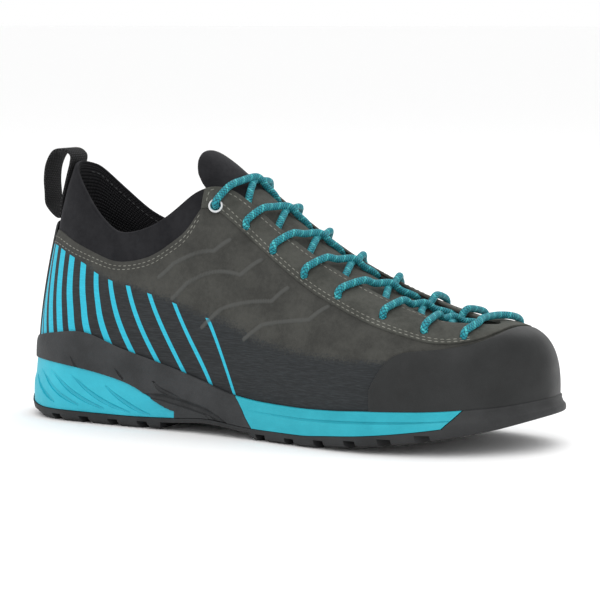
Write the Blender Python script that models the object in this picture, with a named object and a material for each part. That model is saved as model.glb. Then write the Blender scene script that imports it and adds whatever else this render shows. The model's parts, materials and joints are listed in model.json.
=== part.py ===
"""Approach shoe for the right foot, in metres: +X to the toe, +Y to the inner side, +Z up from the floor.

A turn of 0 to 360 degrees goes once round the last, from the heel along the outer side (-Y) to the toe at 180
and back along the inner side. A rib is the line up the upper at one turn, from the sole to the collar or throat.
"""

import math
from collections import namedtuple

import bmesh
import bpy
import numpy as np
from mathutils import Matrix, Vector

# Driving dimensions
LENGTH = 0.298
BALL_WIDTH = 0.106
SEAT_HEIGHT = 0.027
COLLAR_HEIGHT = 0.106

# Walls and clearances
GAP = 0.0003
WALL = 0.0022
COLLAR_PAD = 0.0008
CUFF_STEP = 0.0009
SOLE_MARGIN = 0.0042
RIM_WALL = 0.0018
BASE_THICKNESS = 0.0022
LUG_HEIGHT = 0.0036
STAY_THICKNESS = 0.0012
RAND_THICKNESS = 0.0011
PATCH_THICKNESS = 0.0010
INSOLE_THICKNESS = 0.0040
INSOLE_CLEARANCE = 0.0012
TONGUE_THICKNESS = 0.0045
TONGUE_CLEARANCE = 0.0008
TONGUE_LAP = 0.0100

# Lacing
LACE_DIAMETER = 0.0040
LACE_CLEARANCE = 0.0009
RING_BORE = 0.0020
RING_BARREL = 0.0026
RING_FLANGE = 0.0037
RING_FLANGE_THICKNESS = 0.0008
RING_HOLE = 0.0034
RING_SEAT = 0.0006

# Pull loop
LOOP_WIDTH = 0.0150
LOOP_THICKNESS = 0.0016

# Resolution
COLUMNS = 60
TUBE_SIDES = 6
PATH_STEPS = 2
FOAM_STATIONS = 12
GROOVE_STEPS = 4
BASE_STATIONS = 31
MERGE_SHARE = 0.002
SOFTENING = 5
SOFTENING_REACH = 12
FOOT_BLEND = 0.12
SHARP_ANGLE = math.radians(35)
CUTTER_HEIGHT = 0.2

# Sole outline seen from above: shares of the length from the heel, and of the ball width from the axis
Outline = namedtuple("Outline", "turn along across")
OUTLINE = (
    Outline(0, 0.000, 0.000),
    Outline(18, 0.037, -0.245),
    Outline(36, 0.124, -0.354),
    Outline(54, 0.245, -0.363),
    Outline(72, 0.372, -0.363),
    Outline(90, 0.500, -0.392),
    Outline(108, 0.617, -0.448),
    Outline(126, 0.728, -0.486),
    Outline(144, 0.839, -0.425),
    Outline(162, 0.936, -0.245),
    Outline(180, 1.000, 0.057),
    Outline(198, 0.980, 0.302),
    Outline(216, 0.896, 0.443),
    Outline(234, 0.782, 0.486),
    Outline(252, 0.661, 0.425),
    Outline(270, 0.540, 0.330),
    Outline(288, 0.413, 0.292),
    Outline(306, 0.285, 0.316),
    Outline(324, 0.138, 0.358),
    Outline(342, 0.037, 0.245),
)

# Upper, a row for each rib. Its top edge: shares of the length, the ball width and the collar height above the
# heel seat. Its curve: belly and rise of the foot, reach and drop of the edge, shares of the collar height.
# Shares of the rib: where the quarter ends at the cuff, where the eyestay starts and where the rand ends.
Rib = namedtuple("Rib", "turn along across height belly rise reach drop cuff stay rand")
RIBS = (
    Rib(0, 0.080, 0.000, 1.010, 0.004, 0.26, 0.095, 0.30, 0.635, 0.97, 0.03),
    Rib(15, 0.096, -0.113, 0.985, 0.010, 0.25, 0.080, 0.28, 0.675, 0.97, 0.03),
    Rib(30, 0.144, -0.198, 0.844, 0.020, 0.24, 0.055, 0.25, 0.72, 0.97, 0.03),
    Rib(40, 0.189, -0.250, 0.736, 0.026, 0.23, 0.035, 0.22, 0.765, 0.97, 0.03),
    Rib(50, 0.235, -0.281, 0.680, 0.026, 0.23, 0.028, 0.20, 0.78, 0.97, 0.03),
    Rib(60, 0.293, -0.281, 0.720, 0.024, 0.25, 0.040, 0.22, 0.78, 0.97, 0.03),
    Rib(70, 0.347, -0.260, 0.825, 0.022, 0.28, 0.070, 0.24, 0.79, 0.90, 0.03),
    Rib(76, 0.377, -0.238, 0.900, 0.020, 0.30, 0.095, 0.24, 0.78, 0.87, 0.03),
    Rib(80, 0.405, -0.195, 0.928, 0.017, 0.33, 0.120, 0.22, 0.97, 0.87, 0.03),
    Rib(85, 0.437, -0.142, 0.900, 0.014, 0.36, 0.150, 0.20, 0.97, 0.81, 0.03),
    Rib(90, 0.473, -0.137, 0.825, 0.012, 0.36, 0.160, 0.15, 0.97, 0.785, 0.03),
    Rib(100, 0.540, -0.142, 0.692, 0.010, 0.32, 0.180, 0.10, 0.97, 0.75, 0.03),
    Rib(110, 0.607, -0.146, 0.577, 0.010, 0.28, 0.190, 0.07, 0.97, 0.705, 0.03),
    Rib(120, 0.674, -0.146, 0.484, 0.012, 0.27, 0.200, 0.05, 0.97, 0.67, 0.03),
    Rib(127, 0.715, -0.142, 0.430, 0.012, 0.27, 0.200, 0.04, 0.97, 0.635, 0.04),
    Rib(135, 0.758, -0.137, 0.384, 0.014, 0.27, 0.200, 0.03, 0.97, 0.6, 0.40),
    Rib(150, 0.832, -0.118, 0.320, 0.018, 0.28, 0.190, 0.01, 0.96, 0.55, 0.50),
    Rib(158, 0.862, -0.096, 0.316, 0.017, 0.29, 0.190, 0.00, 0.95, 0.58, 0.54),
    Rib(168, 0.892, -0.056, 0.312, 0.015, 0.29, 0.190, 0.00, 0.95, 0.74, 0.70),
    Rib(180, 0.903, 0.009, 0.308, 0.012, 0.30, 0.190, 0.00, 0.95, 0.86, 0.82),
    Rib(192, 0.894, 0.070, 0.312, 0.015, 0.29, 0.190, 0.00, 0.95, 0.74, 0.70),
    Rib(202, 0.866, 0.111, 0.316, 0.017, 0.29, 0.190, 0.00, 0.95, 0.58, 0.54),
    Rib(210, 0.839, 0.132, 0.320, 0.018, 0.28, 0.190, 0.01, 0.96, 0.55, 0.50),
    Rib(225, 0.765, 0.151, 0.380, 0.014, 0.27, 0.200, 0.03, 0.97, 0.6, 0.40),
    Rib(233, 0.722, 0.156, 0.425, 0.012, 0.27, 0.200, 0.04, 0.97, 0.635, 0.04),
    Rib(240, 0.681, 0.156, 0.475, 0.012, 0.27, 0.200, 0.05, 0.97, 0.67, 0.03),
    Rib(250, 0.614, 0.156, 0.565, 0.010, 0.28, 0.190, 0.07, 0.97, 0.705, 0.03),
    Rib(260, 0.547, 0.151, 0.680, 0.010, 0.32, 0.180, 0.10, 0.97, 0.75, 0.03),
    Rib(270, 0.479, 0.146, 0.810, 0.012, 0.36, 0.160, 0.15, 0.97, 0.785, 0.03),
    Rib(275, 0.437, 0.151, 0.895, 0.014, 0.36, 0.150, 0.20, 0.97, 0.81, 0.03),
    Rib(280, 0.405, 0.200, 0.928, 0.017, 0.33, 0.120, 0.22, 0.97, 0.87, 0.03),
    Rib(284, 0.377, 0.243, 0.900, 0.020, 0.30, 0.095, 0.24, 0.78, 0.87, 0.03),
    Rib(290, 0.347, 0.258, 0.825, 0.022, 0.28, 0.070, 0.24, 0.79, 0.90, 0.03),
    Rib(300, 0.293, 0.274, 0.725, 0.024, 0.25, 0.040, 0.22, 0.78, 0.97, 0.03),
    Rib(310, 0.235, 0.269, 0.695, 0.026, 0.23, 0.028, 0.20, 0.78, 0.97, 0.03),
    Rib(320, 0.189, 0.245, 0.740, 0.026, 0.23, 0.035, 0.22, 0.765, 0.97, 0.03),
    Rib(330, 0.144, 0.198, 0.850, 0.020, 0.24, 0.055, 0.25, 0.72, 0.97, 0.03),
    Rib(345, 0.096, 0.113, 0.985, 0.010, 0.25, 0.080, 0.28, 0.675, 0.97, 0.03),
)

# Sole seen from the side, as shares of the length and of the seat height: how far its tread springs off the floor,
# the seat of the upper, the top of the rim and the split between heel wedge and midsole, outer and inner side
Level = namedtuple("Level", "along spring seat rim_outer rim_inner split_outer split_inner")
LEVELS = (
    Level(-0.06, 0.560, 1.00, 1.52, 1.55, 1.18, 1.18),
    Level(0.00, 0.260, 1.00, 1.52, 1.55, 1.17, 1.15),
    Level(0.03, 0.070, 1.00, 1.54, 1.55, 1.16, 1.14),
    Level(0.08, 0.000, 0.99, 1.66, 1.56, 1.14, 1.13),
    Level(0.15, 0.000, 0.97, 1.76, 1.58, 1.05, 1.14),
    Level(0.25, 0.000, 0.93, 1.49, 1.72, 0.81, 1.16),
    Level(0.35, 0.035, 0.88, 1.21, 1.76, 0.38, 0.92),
    Level(0.42, 0.085, 0.80, 0.98, 1.30, 0.34, 0.44),
    Level(0.46, 0.055, 0.73, 0.84, 1.00, 0.34, 0.34),
    Level(0.50, 0.015, 0.66, 0.76, 0.82, 0.34, 0.34),
    Level(0.54, 0.000, 0.63, 0.72, 0.74, 0.34, 0.34),
    Level(0.62, 0.000, 0.62, 0.70, 0.71, 0.34, 0.34),
    Level(0.68, 0.050, 0.64, 0.72, 0.72, 0.34, 0.34),
    Level(0.74, 0.105, 0.67, 0.76, 0.76, 0.34, 0.34),
    Level(0.84, 0.240, 0.71, 0.80, 0.80, 0.34, 0.34),
    Level(0.94, 0.445, 0.79, 0.88, 0.88, 0.34, 0.34),
    Level(1.00, 0.640, 0.87, 0.98, 0.98, 0.34, 0.34),
    Level(1.06, 0.840, 0.95, 1.06, 1.06, 0.34, 0.34),
)

# Wall of the sole from its underside up to its rim, as shares of that height and of the sole margin pulled in
Wall = namedtuple("Wall", "height inset")
SOLE_WALL = (
    Wall(0.00, 0.75),
    Wall(0.10, 0.20),
    Wall(0.35, 0.00),
    Wall(0.62, 0.05),
    Wall(0.80, 0.30),
)

# Places along the sole, as shares of the length
WEDGE_TIP = 0.352
WEDGE_TIP_INNER = 0.405
JOINT_TOP = 0.452
JOINT_FOOT = 0.520
INSERT_TIP_TOP = 0.945
INSERT_TIP_FOOT = 0.870
TAIL = -0.08
JOINT_TOP_CLEAR = JOINT_TOP - 1.2 * GAP / LENGTH
JOINT_FOOT_CLEAR = JOINT_FOOT - 1.2 * GAP / LENGTH
TIP_TOP_CLEAR = INSERT_TIP_TOP - 1.2 * GAP / LENGTH
TIP_FOOT_CLEAR = INSERT_TIP_FOOT - 1.2 * GAP / LENGTH
WAIST_MARGIN = 0.03
WEDGE_STEP = 0.0008
TREAD_START = 0.055
TREAD_END = 0.300
FORETREAD_START = 0.545
FORETREAD_END = 0.850
SLOT_PITCH = 0.0185
SLOT_WIDTH = 0.0058
SLOT_REACH = 0.30
SLOT_SLANT = 18.0
CENTRE_SLOT_REACH = 0.13

# Grooves in the side of the heel wedge: shares of the length, and of the wedge's height at each end
Groove = namedtuple("Groove", "start finish start_height finish_height sag")
GROOVES = (
    Groove(0.045, 0.105, 0.62, 0.16, 0.05),
    Groove(0.060, 0.160, 0.80, 0.16, 0.08),
    Groove(0.090, 0.215, 0.84, 0.15, 0.09),
    Groove(0.140, 0.268, 0.82, 0.15, 0.08),
    Groove(0.215, 0.310, 0.78, 0.18, 0.04),
)
GROOVE_WIDTH = 0.0014

# Upper's step at the cuff, its fuller collar and its rounded edge
CUFF_FADE = 0.95
CUFF_FADE_WIDTH = 0.08
PAD_BLEND = 0.15
EDGE_SPAN = 0.2
EDGE_ROUND = 0.006
RIM_CLEARANCE = 0.0006
STAY_TURNS = (78.0, 282.0)
STAY_ROWS = 5
STAY_EDGE = 0.985
RAND_TURNS = (132.0, 228.0)
RAND_ROWS = 9
RAND_LIFT = 0.00025
STRIP_HALF_TURN = 12.0
STRIP_TOP = 0.68

# Tongue: the turns of its stations, then its free end as shares of its rise, its width and its lean to the heel
TONGUE_TURNS = (174, 169, 163, 156, 148, 139, 129, 119, 110, 102, 95, 89, 85)
TONGUE_TIP = ((0.30, 1.0, 0.0), (0.62, 0.98, 0.0), (0.86, 0.88, -0.01), (1.0, 0.62, -0.03))
TONGUE_RISE = 0.030
TONGUE_CROWN = 1.0
TOE_BAR_CLEARANCE = 0.0008
STRAND_SPREAD = 0.24
CROSSING_RISE = 0.0006
LACE_HOLE = 0.0021
RING_SIDES = 12
HOLE_SIDES = 6

# Eyelets on the outer side, from the top ring to the toe, and how far in from the throat's edge each lies. The
# inner side mirrors them.
Eyelet = namedtuple("Eyelet", "turn inset")
EYELETS = (
    Eyelet(81.5, 0.0115),
    Eyelet(90.0, 0.0132),
    Eyelet(98.5, 0.0138),
    Eyelet(108.0, 0.0145),
    Eyelet(118.0, 0.0155),
    Eyelet(131.0, 0.0165),
    Eyelet(143.5, 0.0178),
    Eyelet(155.0, 0.0190),
)
TOE_BAR_TURN = 166.0

# Pull loop behind the heel: shares of the rib along the collar, then shares of the collar height behind its edge
LOOP_FRONT = (0.715, 0.79, 0.86, 0.93, 0.98)
LoopPoint = namedtuple("LoopPoint", "back height")
LOOP_BACK = (
    LoopPoint(0.004, 1.035),
    LoopPoint(0.045, 1.060),
    LoopPoint(0.110, 1.050),
    LoopPoint(0.150, 0.990),
    LoopPoint(0.163, 0.920),
    LoopPoint(0.160, 0.850),
    LoopPoint(0.150, 0.780),
)

# Shares of a rib at which the upper, its patches and the sole's rim have a row
QUARTER_ROWS = (0.0, 0.08, 0.19, 0.32, 0.45, 0.59, 0.73, 0.87, 1.0)
COLLAR_ROWS = (0.06, 0.50, 1.0)
INNER_ROWS = (1.0, 0.84, 0.67, 0.49, 0.31, 0.13, 0.0)
RIM_ROWS = ((0.34, 1.00), (0.70, 0.95), (1.00, 0.62))

DEGREES = np.arange(0.0, 360.5, 0.5)
COLUMN_TURNS = np.arange(COLUMNS) * 360.0 / COLUMNS
UP = np.array((0.0, 0.0, 1.0))


def through_rows(keys, values, at):
    """Cubic curve through the rows of a table that never swings past them."""
    keys = np.asarray(keys, float)
    values = np.asarray(values, float)
    at = np.asarray(at, float)
    steps = np.diff(keys)
    rises = np.diff(values) / steps
    slopes = np.zeros_like(values)
    before = rises[:-1]
    after = rises[1:]
    same = before * after > 0
    slopes[1:-1][same] = 2 * before[same] * after[same] / (before[same] + after[same])
    spot = np.clip(np.searchsorted(keys, at, side="right") - 1, 0, len(steps) - 1)
    part = np.clip((at - keys[spot]) / steps[spot], 0.0, 1.0)
    start = (1 + 2 * part) * (1 - part) ** 2 * values[spot]
    finish = part**2 * (3 - 2 * part) * values[spot + 1]
    lead = part * (1 - part) ** 2 * slopes[spot] * steps[spot]
    trail = part**2 * (part - 1) * slopes[spot + 1] * steps[spot]
    return start + finish + lead + trail


def round_track(rows, name):
    """A column of a table that goes round the last, softened and read every half degree."""
    keys = [row.turn for row in rows]
    values = [getattr(row, name) for row in rows]
    keys = [key - 360 for key in keys[-3:]] + keys + [key + 360 for key in keys[:3]]
    values = values[-3:] + values + values[:3]
    dense = through_rows(keys, values, DEGREES[:-1])
    kernel = np.exp(-0.5 * (np.arange(-SOFTENING_REACH, SOFTENING_REACH + 1) / SOFTENING) ** 2)
    wrapped = np.concatenate((dense[-SOFTENING_REACH:], dense, dense[:SOFTENING_REACH]))
    soft = np.convolve(wrapped, kernel / kernel.sum(), mode="valid")
    return np.append(soft, soft[0])


OUTLINE_TRACKS = {name: round_track(OUTLINE, name) for name in ("along", "across")}
RIB_TRACKS = {name: round_track(RIBS, name) for name in Rib._fields[1:]}


def read_track(track, turn):
    return np.interp(np.asarray(turn, float) % 360, DEGREES, track)


def rib_value(name, turn):
    return read_track(RIB_TRACKS[name], turn)


def level(name, x):
    """A column of the sole's table at x, as a height."""
    keys = [row.along for row in LEVELS]
    values = [getattr(row, name) for row in LEVELS]
    return SEAT_HEIGHT * through_rows(keys, values, np.asarray(x) / LENGTH + 0.5)


def outline(turn, inset=0.0):
    """Point of the sole's outline, pulled in by the inset, and the direction that points out there."""
    turn = np.asarray(turn, float)

    def place(at):
        x = (read_track(OUTLINE_TRACKS["along"], at) - 0.5) * LENGTH
        y = read_track(OUTLINE_TRACKS["across"], at) * BALL_WIDTH
        return x, y

    x, y = place(turn)
    ahead_x, ahead_y = place(turn + 1.0)
    behind_x, behind_y = place(turn - 1.0)
    along = np.hypot(ahead_x - behind_x, ahead_y - behind_y)
    out_x = (ahead_y - behind_y) / along
    out_y = (behind_x - ahead_x) / along
    return x - out_x * inset, y - out_y * inset, out_x, out_y


def points(x, y, z):
    return np.stack(np.broadcast_arrays(x, y, z), axis=-1)


def lengthened(vectors):
    return vectors / np.linalg.norm(vectors, axis=-1, keepdims=True)


def seat_height(turn):
    """Height of the seat under the upper's wall."""
    return level("seat", outline(turn, SOLE_MARGIN)[0])


def rim_height(turn):
    """Height of the sole's rim, which differs between the outer and the inner side."""
    x, y, _, _ = outline(turn, SOLE_MARGIN)
    inner = np.clip(0.5 + 2.0 * y / BALL_WIDTH, 0.0, 1.0)
    return level("rim_outer", x) * (1 - inner) + level("rim_inner", x) * inner


def skin(turn, share):
    """Point of the upper's outer skin on the rib at this turn, at this share of the way up it."""
    turn, share = np.broadcast_arrays(np.asarray(turn, float), np.asarray(share, float))
    x, y, out_x, out_y = outline(turn, SOLE_MARGIN)
    out = points(out_x, out_y, 0.0)
    foot = points(x, y, seat_height(turn) + GAP)
    edge_x = (rib_value("along", turn) - 0.5) * LENGTH
    edge_y = rib_value("across", turn) * BALL_WIDTH
    edge = points(edge_x, edge_y, SEAT_HEIGHT + rib_value("height", turn) * COLLAR_HEIGHT)

    def pull(name):
        return (rib_value(name, turn) * COLLAR_HEIGHT)[..., None]

    low = foot + out * pull("belly") + UP * pull("rise")
    high = edge + out * pull("reach") - UP * pull("drop")
    part = share[..., None]
    rest = 1 - part
    return rest**3 * foot + 3 * rest**2 * part * low + 3 * rest * part**2 * high + part**3 * edge


def upper_point(turn, share, offset):
    """Point of the upper's skin, moved out of the foot by the offset."""
    turn, share = np.broadcast_arrays(np.asarray(turn, float), np.asarray(share, float))
    along = skin(turn + 0.75, share) - skin(turn - 0.75, share)
    upward = skin(turn, share + 0.01) - skin(turn, share - 0.01)
    normal = lengthened(np.cross(along, upward))
    _, _, out_x, out_y = outline(turn)
    flat = points(out_x, out_y, 0.0)
    blend = np.clip(share / FOOT_BLEND, 0.0, 1.0)[..., None]
    normal = lengthened(flat * (1 - blend) + normal * blend)
    return skin(turn, share) + normal * np.asarray(offset)[..., None]


def share_at_height(turn, height):
    """Share of each rib at which the skin reaches this height."""
    turn = np.atleast_1d(np.asarray(turn, float))
    height = np.broadcast_to(height, turn.shape)
    shares = np.linspace(0.0, 0.9, 181)
    heights = skin(turn[:, None], shares[None, :])[..., 2]
    return np.array([np.interp(height[i], heights[i], shares) for i in range(len(turn))])


def material(name, colour, roughness=0.7, metallic=0.0):
    made = bpy.data.materials.new(name)
    made.use_nodes = True
    shader = made.node_tree.nodes["Principled BSDF"]
    shader.inputs["Base Color"].default_value = (*colour, 1.0)
    shader.inputs["Roughness"].default_value = roughness
    shader.inputs["Metallic"].default_value = metallic
    made.diffuse_color = (*colour, 1.0)
    return made


def add_object(name, mesh_data, finish):
    """Put a finished bmesh into the scene as an object of its own."""
    bmesh.ops.recalc_face_normals(mesh_data, faces=mesh_data.faces)
    mesh = bpy.data.meshes.new(name)
    mesh_data.to_mesh(mesh)
    mesh_data.free()
    mesh.shade_smooth()
    mesh.set_sharp_from_angle(angle=SHARP_ANGLE)
    obj = bpy.data.objects.new(name, mesh)
    if finish:
        mesh.materials.append(finish)
    bpy.context.scene.collection.objects.link(obj)
    return obj


def grid_vertices(mesh_data, grid):
    return [[mesh_data.verts.new(Vector(point)) for point in section] for section in grid]


def side_faces(mesh_data, sections, closed_section, closed_round):
    """Quads between neighbouring sections."""
    count = len(sections)
    rows = len(sections[0])
    for i in range(count if closed_round else count - 1):
        here = sections[i]
        after = sections[(i + 1) % count]
        for row in range(rows if closed_section else rows - 1):
            following = (row + 1) % rows
            mesh_data.faces.new((here[row], after[row], after[following], here[following]))


def ring_solid(name, grid, finish):
    """Solid from sections that close on themselves and go all the way round."""
    mesh_data = bmesh.new()
    side_faces(mesh_data, grid_vertices(mesh_data, grid), True, True)
    return add_object(name, mesh_data, finish)


def strip_solid(name, outside, inside, finish):
    """Solid between two open sheets of the same grid, closed along its four edges."""
    mesh_data = bmesh.new()
    grid = np.concatenate((outside, inside[:, ::-1]), axis=1)
    sections = grid_vertices(mesh_data, grid)
    side_faces(mesh_data, sections, True, False)
    rows = len(sections[0])
    for end in (sections[0], sections[-1]):
        for row in range(rows // 2 - 1):
            mesh_data.faces.new((end[row], end[row + 1], end[rows - 2 - row], end[rows - 1 - row]))
    return add_object(name, mesh_data, finish)


def disc_solid(name, grid, finish):
    """Solid from open sections round the foot, closed by rungs across it below and above."""
    mesh_data = bmesh.new()
    sections = grid_vertices(mesh_data, grid)
    side_faces(mesh_data, sections, False, True)
    count = len(sections)
    for row in (0, -1):
        ring = [section[row] for section in sections]
        for i in range(count // 2):
            corners = [ring[i], ring[i + 1], ring[count - i - 1], ring[-i]]
            mesh_data.faces.new(list(dict.fromkeys(corners)))
    return add_object(name, mesh_data, finish)


def tube_grid(path, radius, sides):
    """Rings of a round tube along a path, turned as little as possible from one to the next."""
    path = np.asarray(path)
    heading = lengthened(np.gradient(path, axis=0))
    side = lengthened(np.cross(heading[0], UP))
    rings = []
    for place, ahead in zip(path, heading):
        side = lengthened(side - ahead * np.dot(side, ahead))
        over = np.cross(ahead, side)
        angles = np.arange(sides) * 2 * np.pi / sides
        rings.append(place + radius * (np.cos(angles)[:, None] * side + np.sin(angles)[:, None] * over))
    return np.array(rings)


def tube(name, path, radius, finish, sides=TUBE_SIDES):
    mesh_data = bmesh.new()
    sections = grid_vertices(mesh_data, tube_grid(path, radius, sides))
    side_faces(mesh_data, sections, True, False)
    mesh_data.faces.new(sections[0])
    mesh_data.faces.new(sections[-1])
    return add_object(name, mesh_data, finish)


def helper(obj):
    """Keep a cutter out of the render."""
    obj.hide_render = True
    obj.display_type = "WIRE"
    return obj


def boolean(obj, other, operation, crossing=False):
    """Cut, keep or join; crossing says that the other solid's own pieces run through each other."""
    modifier = obj.modifiers.new(f"{operation.lower()} {other.name}", "BOOLEAN")
    modifier.operation = operation
    modifier.solver = "EXACT"
    modifier.use_self = crossing
    modifier.object = other


def smooth_path(route, steps):
    """Curve through hand-placed points, evenly divided between each pair."""
    route = np.asarray(route, float)
    padded = np.vstack((2 * route[0] - route[1], route, 2 * route[-1] - route[-2]))
    made = []
    for a, b, c, d in zip(padded, padded[1:], padded[2:], padded[3:]):
        for part in np.arange(steps) / steps:
            bend = 2 * a - 5 * b + 4 * c - d
            twist = 3 * b - a - 3 * c + d
            made.append(0.5 * (2 * b + (c - a) * part + bend * part**2 + twist * part**3))
    made.append(route[-1])
    return np.array(made)


def prism(name, profile, half_depth):
    """Cutter with this profile of (x, z) points, across the whole shoe."""
    mesh_data = bmesh.new()
    near = [mesh_data.verts.new((x, -half_depth, z)) for x, z in profile]
    far = [mesh_data.verts.new((x, half_depth, z)) for x, z in profile]
    mesh_data.faces.new(near)
    mesh_data.faces.new(far)
    for i in range(len(profile)):
        after = (i + 1) % len(profile)
        mesh_data.faces.new((near[i], near[after], far[after], far[i]))
    return helper(add_object(name, mesh_data, None))


def along_x(share):
    return (share - 0.5) * LENGTH


def base_top(x):
    """Height of the outsole's base, under the foam."""
    return level("spring", x) + LUG_HEIGHT + BASE_THICKNESS


def base_line(start, finish, gap):
    """Points along the top of the outsole's base, on the same chords wherever they start."""
    stations = np.linspace(TAIL, 1.0, BASE_STATIONS)
    heights = base_top(along_x(stations))
    inside = stations[(stations > start + MERGE_SHARE) & (stations < finish - MERGE_SHARE)]
    shares = np.concatenate(([start], inside, [finish]))
    return [(along_x(share), float(np.interp(share, stations, heights)) + gap) for share in shares]


def foam_prism(name, start_top, start_foot, tip_foot, tip_top, gap):
    """Room over the outsole's base between two slanted ends, for cutting the foam out of the whole sole."""
    profile = base_line(start_foot, tip_foot, gap)
    tip_lean = (along_x(tip_top) - profile[-1][0]) / SEAT_HEIGHT
    start_lean = (along_x(start_top) - profile[0][0]) / SEAT_HEIGHT
    profile.append((profile[-1][0] + tip_lean * CUTTER_HEIGHT, CUTTER_HEIGHT))
    profile.append((profile[0][0] + start_lean * CUTTER_HEIGHT, CUTTER_HEIGHT))
    return prism(name, profile, BALL_WIDTH)


def sole_grid(step_in=0.0):
    """Sections of the whole sole: up its outer wall, over the rim, and down to the seat."""
    x, y, out_x, out_y = outline(COLUMN_TURNS)
    floor = level("spring", x)
    seat = seat_height(COLUMN_TURNS)
    rim = rim_height(COLUMN_TURNS)
    rows = []
    for wall in SOLE_WALL:
        inset = wall.inset * SOLE_MARGIN + step_in
        rows.append(points(x - out_x * inset, y - out_y * inset, floor + wall.height * (seat - floor)))
    for share, fullness in RIM_ROWS:
        height = seat + share * (rim - seat)
        offset = GAP + RIM_WALL * fullness - step_in
        rows.append(upper_point(COLUMN_TURNS, share_at_height(COLUMN_TURNS, height), offset))
    for share in (1.0, 0.5):
        height = seat + share * (rim - seat)
        rows.append(upper_point(COLUMN_TURNS, share_at_height(COLUMN_TURNS, height), GAP))
    foot = upper_point(COLUMN_TURNS, 0.0, GAP)
    foot[..., 2] = seat
    rows.append(foot)
    return np.stack(rows, axis=1)


def wedge_block(name, gap):
    """Cutter for the heel wedge, with its top higher or lower on each side as the midsole rides over it."""
    mesh_data = bmesh.new()
    rows = []
    for side, split, tip in ((-1, "split_outer", WEDGE_TIP), (1, "split_inner", WEDGE_TIP_INNER)):
        stations = np.linspace(along_x(LEVELS[0].along), along_x(tip), FOAM_STATIONS)
        heights = level(split, stations) + gap
        slope = (heights[-1] - heights[-2]) / (stations[-1] - stations[-2])
        stations[-1] += gap
        heights[-1] += gap * slope
        rows.append([(x, side * BALL_WIDTH / 2, z) for x, z in zip(stations, heights)])
    near, far = rows
    upper_near = [mesh_data.verts.new(point) for point in near]
    upper_far = [mesh_data.verts.new(point) for point in far]
    lower_near = [mesh_data.verts.new((x, y, -SEAT_HEIGHT)) for x, y, _ in near]
    lower_far = [mesh_data.verts.new((x, y, -SEAT_HEIGHT)) for x, y, _ in far]
    side_faces(mesh_data, list(zip(upper_near, upper_far, lower_far, lower_near)), True, False)
    for end in (0, -1):
        mesh_data.faces.new((upper_near[end], upper_far[end], lower_far[end], lower_near[end]))
    bmesh.ops.triangulate(mesh_data, faces=mesh_data.faces, quad_method="FIXED")
    return helper(add_object(name, mesh_data, None))


def wall_path(side, groove):
    """Route of a groove on the side of the heel wedge."""
    outer = side < 0
    turns = np.linspace(4.0, 100.0, 193)
    if not outer:
        turns = 360.0 - turns
    x, y, out_x, out_y = outline(turns)
    order = np.argsort(x)
    route = []
    for part in np.linspace(0.0, 1.0, GROOVE_STEPS):
        share = groove.start + part * (groove.finish - groove.start)
        turn = np.interp(along_x(share), x[order], turns[order])
        height = groove.start_height + part * (groove.finish_height - groove.start_height)
        height -= groove.sag * math.sin(math.pi * part)
        floor = float(base_top(along_x(share)))
        split = float(level("split_outer" if outer else "split_inner", along_x(share)))
        z = floor + height * (split - floor)
        px, py, _, _ = outline(turn, wall_inset(turn, z) + WEDGE_STEP)
        route.append((float(px), float(py), z))
    return route


def wall_inset(turn, z):
    """How far the sole's wall is pulled in at this height."""
    floor = float(level("spring", outline(turn)[0]))
    share = (z - floor) / (float(seat_height(turn)) - floor)
    heights = [wall.height for wall in SOLE_WALL]
    insets = [wall.inset for wall in SOLE_WALL]
    return SOLE_MARGIN * float(np.interp(share, heights, insets))


def groove_cutter():
    """Square rods along the ribs of both sides of the heel wedge."""
    mesh_data = bmesh.new()
    for side in (-1, 1):
        for groove in GROOVES:
            rings = tube_grid(wall_path(side, groove), GROOVE_WIDTH, 4)
            sections = grid_vertices(mesh_data, rings)
            side_faces(mesh_data, sections, True, False)
            mesh_data.faces.new(sections[0])
            mesh_data.faces.new(sections[-1])
    return helper(add_object("groove_cutter", mesh_data, None))


def slot_matrix(x, y, turned):
    return Matrix.Translation((x, y, 0.0)) @ Matrix.Rotation(turned, 4, "Z")


def tread_cutter():
    """Slots between the lugs, from both edges and down the middle, and the clear waist."""
    mesh_data = bmesh.new()
    for start, finish in ((TREAD_START, TREAD_END), (FORETREAD_START, FORETREAD_END)):
        count = round((finish - start) * LENGTH / SLOT_PITCH)
        for i in range(count + 1):
            share = start + (finish - start) * i / count
            x = along_x(share)
            top = float(level("spring", x)) + LUG_HEIGHT
            for side in (-1, 1):
                edge = sole_edge(x, side)
                reach = SLOT_REACH * BALL_WIDTH
                turned = side * math.radians(SLOT_SLANT)
                size = (SLOT_WIDTH, reach, top * 2)
                cut = bmesh.ops.create_cube(mesh_data, size=1.0)["verts"]
                bmesh.ops.scale(mesh_data, vec=size, verts=cut)
                middle = edge - side * (reach / 2 - SOLE_MARGIN * 2)
                bmesh.ops.transform(mesh_data, matrix=slot_matrix(x, middle, turned), verts=cut)
            if i < count:
                cut = bmesh.ops.create_cube(mesh_data, size=1.0)["verts"]
                size = (SLOT_WIDTH, CENTRE_SLOT_REACH * BALL_WIDTH, top * 2)
                bmesh.ops.scale(mesh_data, vec=size, verts=cut)
                middle = (sole_edge(x, 1) + sole_edge(x, -1)) / 2
                place = slot_matrix(x + SLOT_PITCH / 2, middle, 0.0)
                bmesh.ops.transform(mesh_data, matrix=place, verts=cut)
    return helper(add_object("tread_cutter", mesh_data, None))


def sole_edge(x, side):
    """Where the sole's outline is at x, on the outer (-1) or the inner (1) side."""
    turns = np.linspace(2.0, 178.0, 353)
    if side > 0:
        turns = 360.0 - turns
    xs, ys, _, _ = outline(turns)
    order = np.argsort(xs)
    return float(np.interp(x, xs[order], ys[order]))


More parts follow.
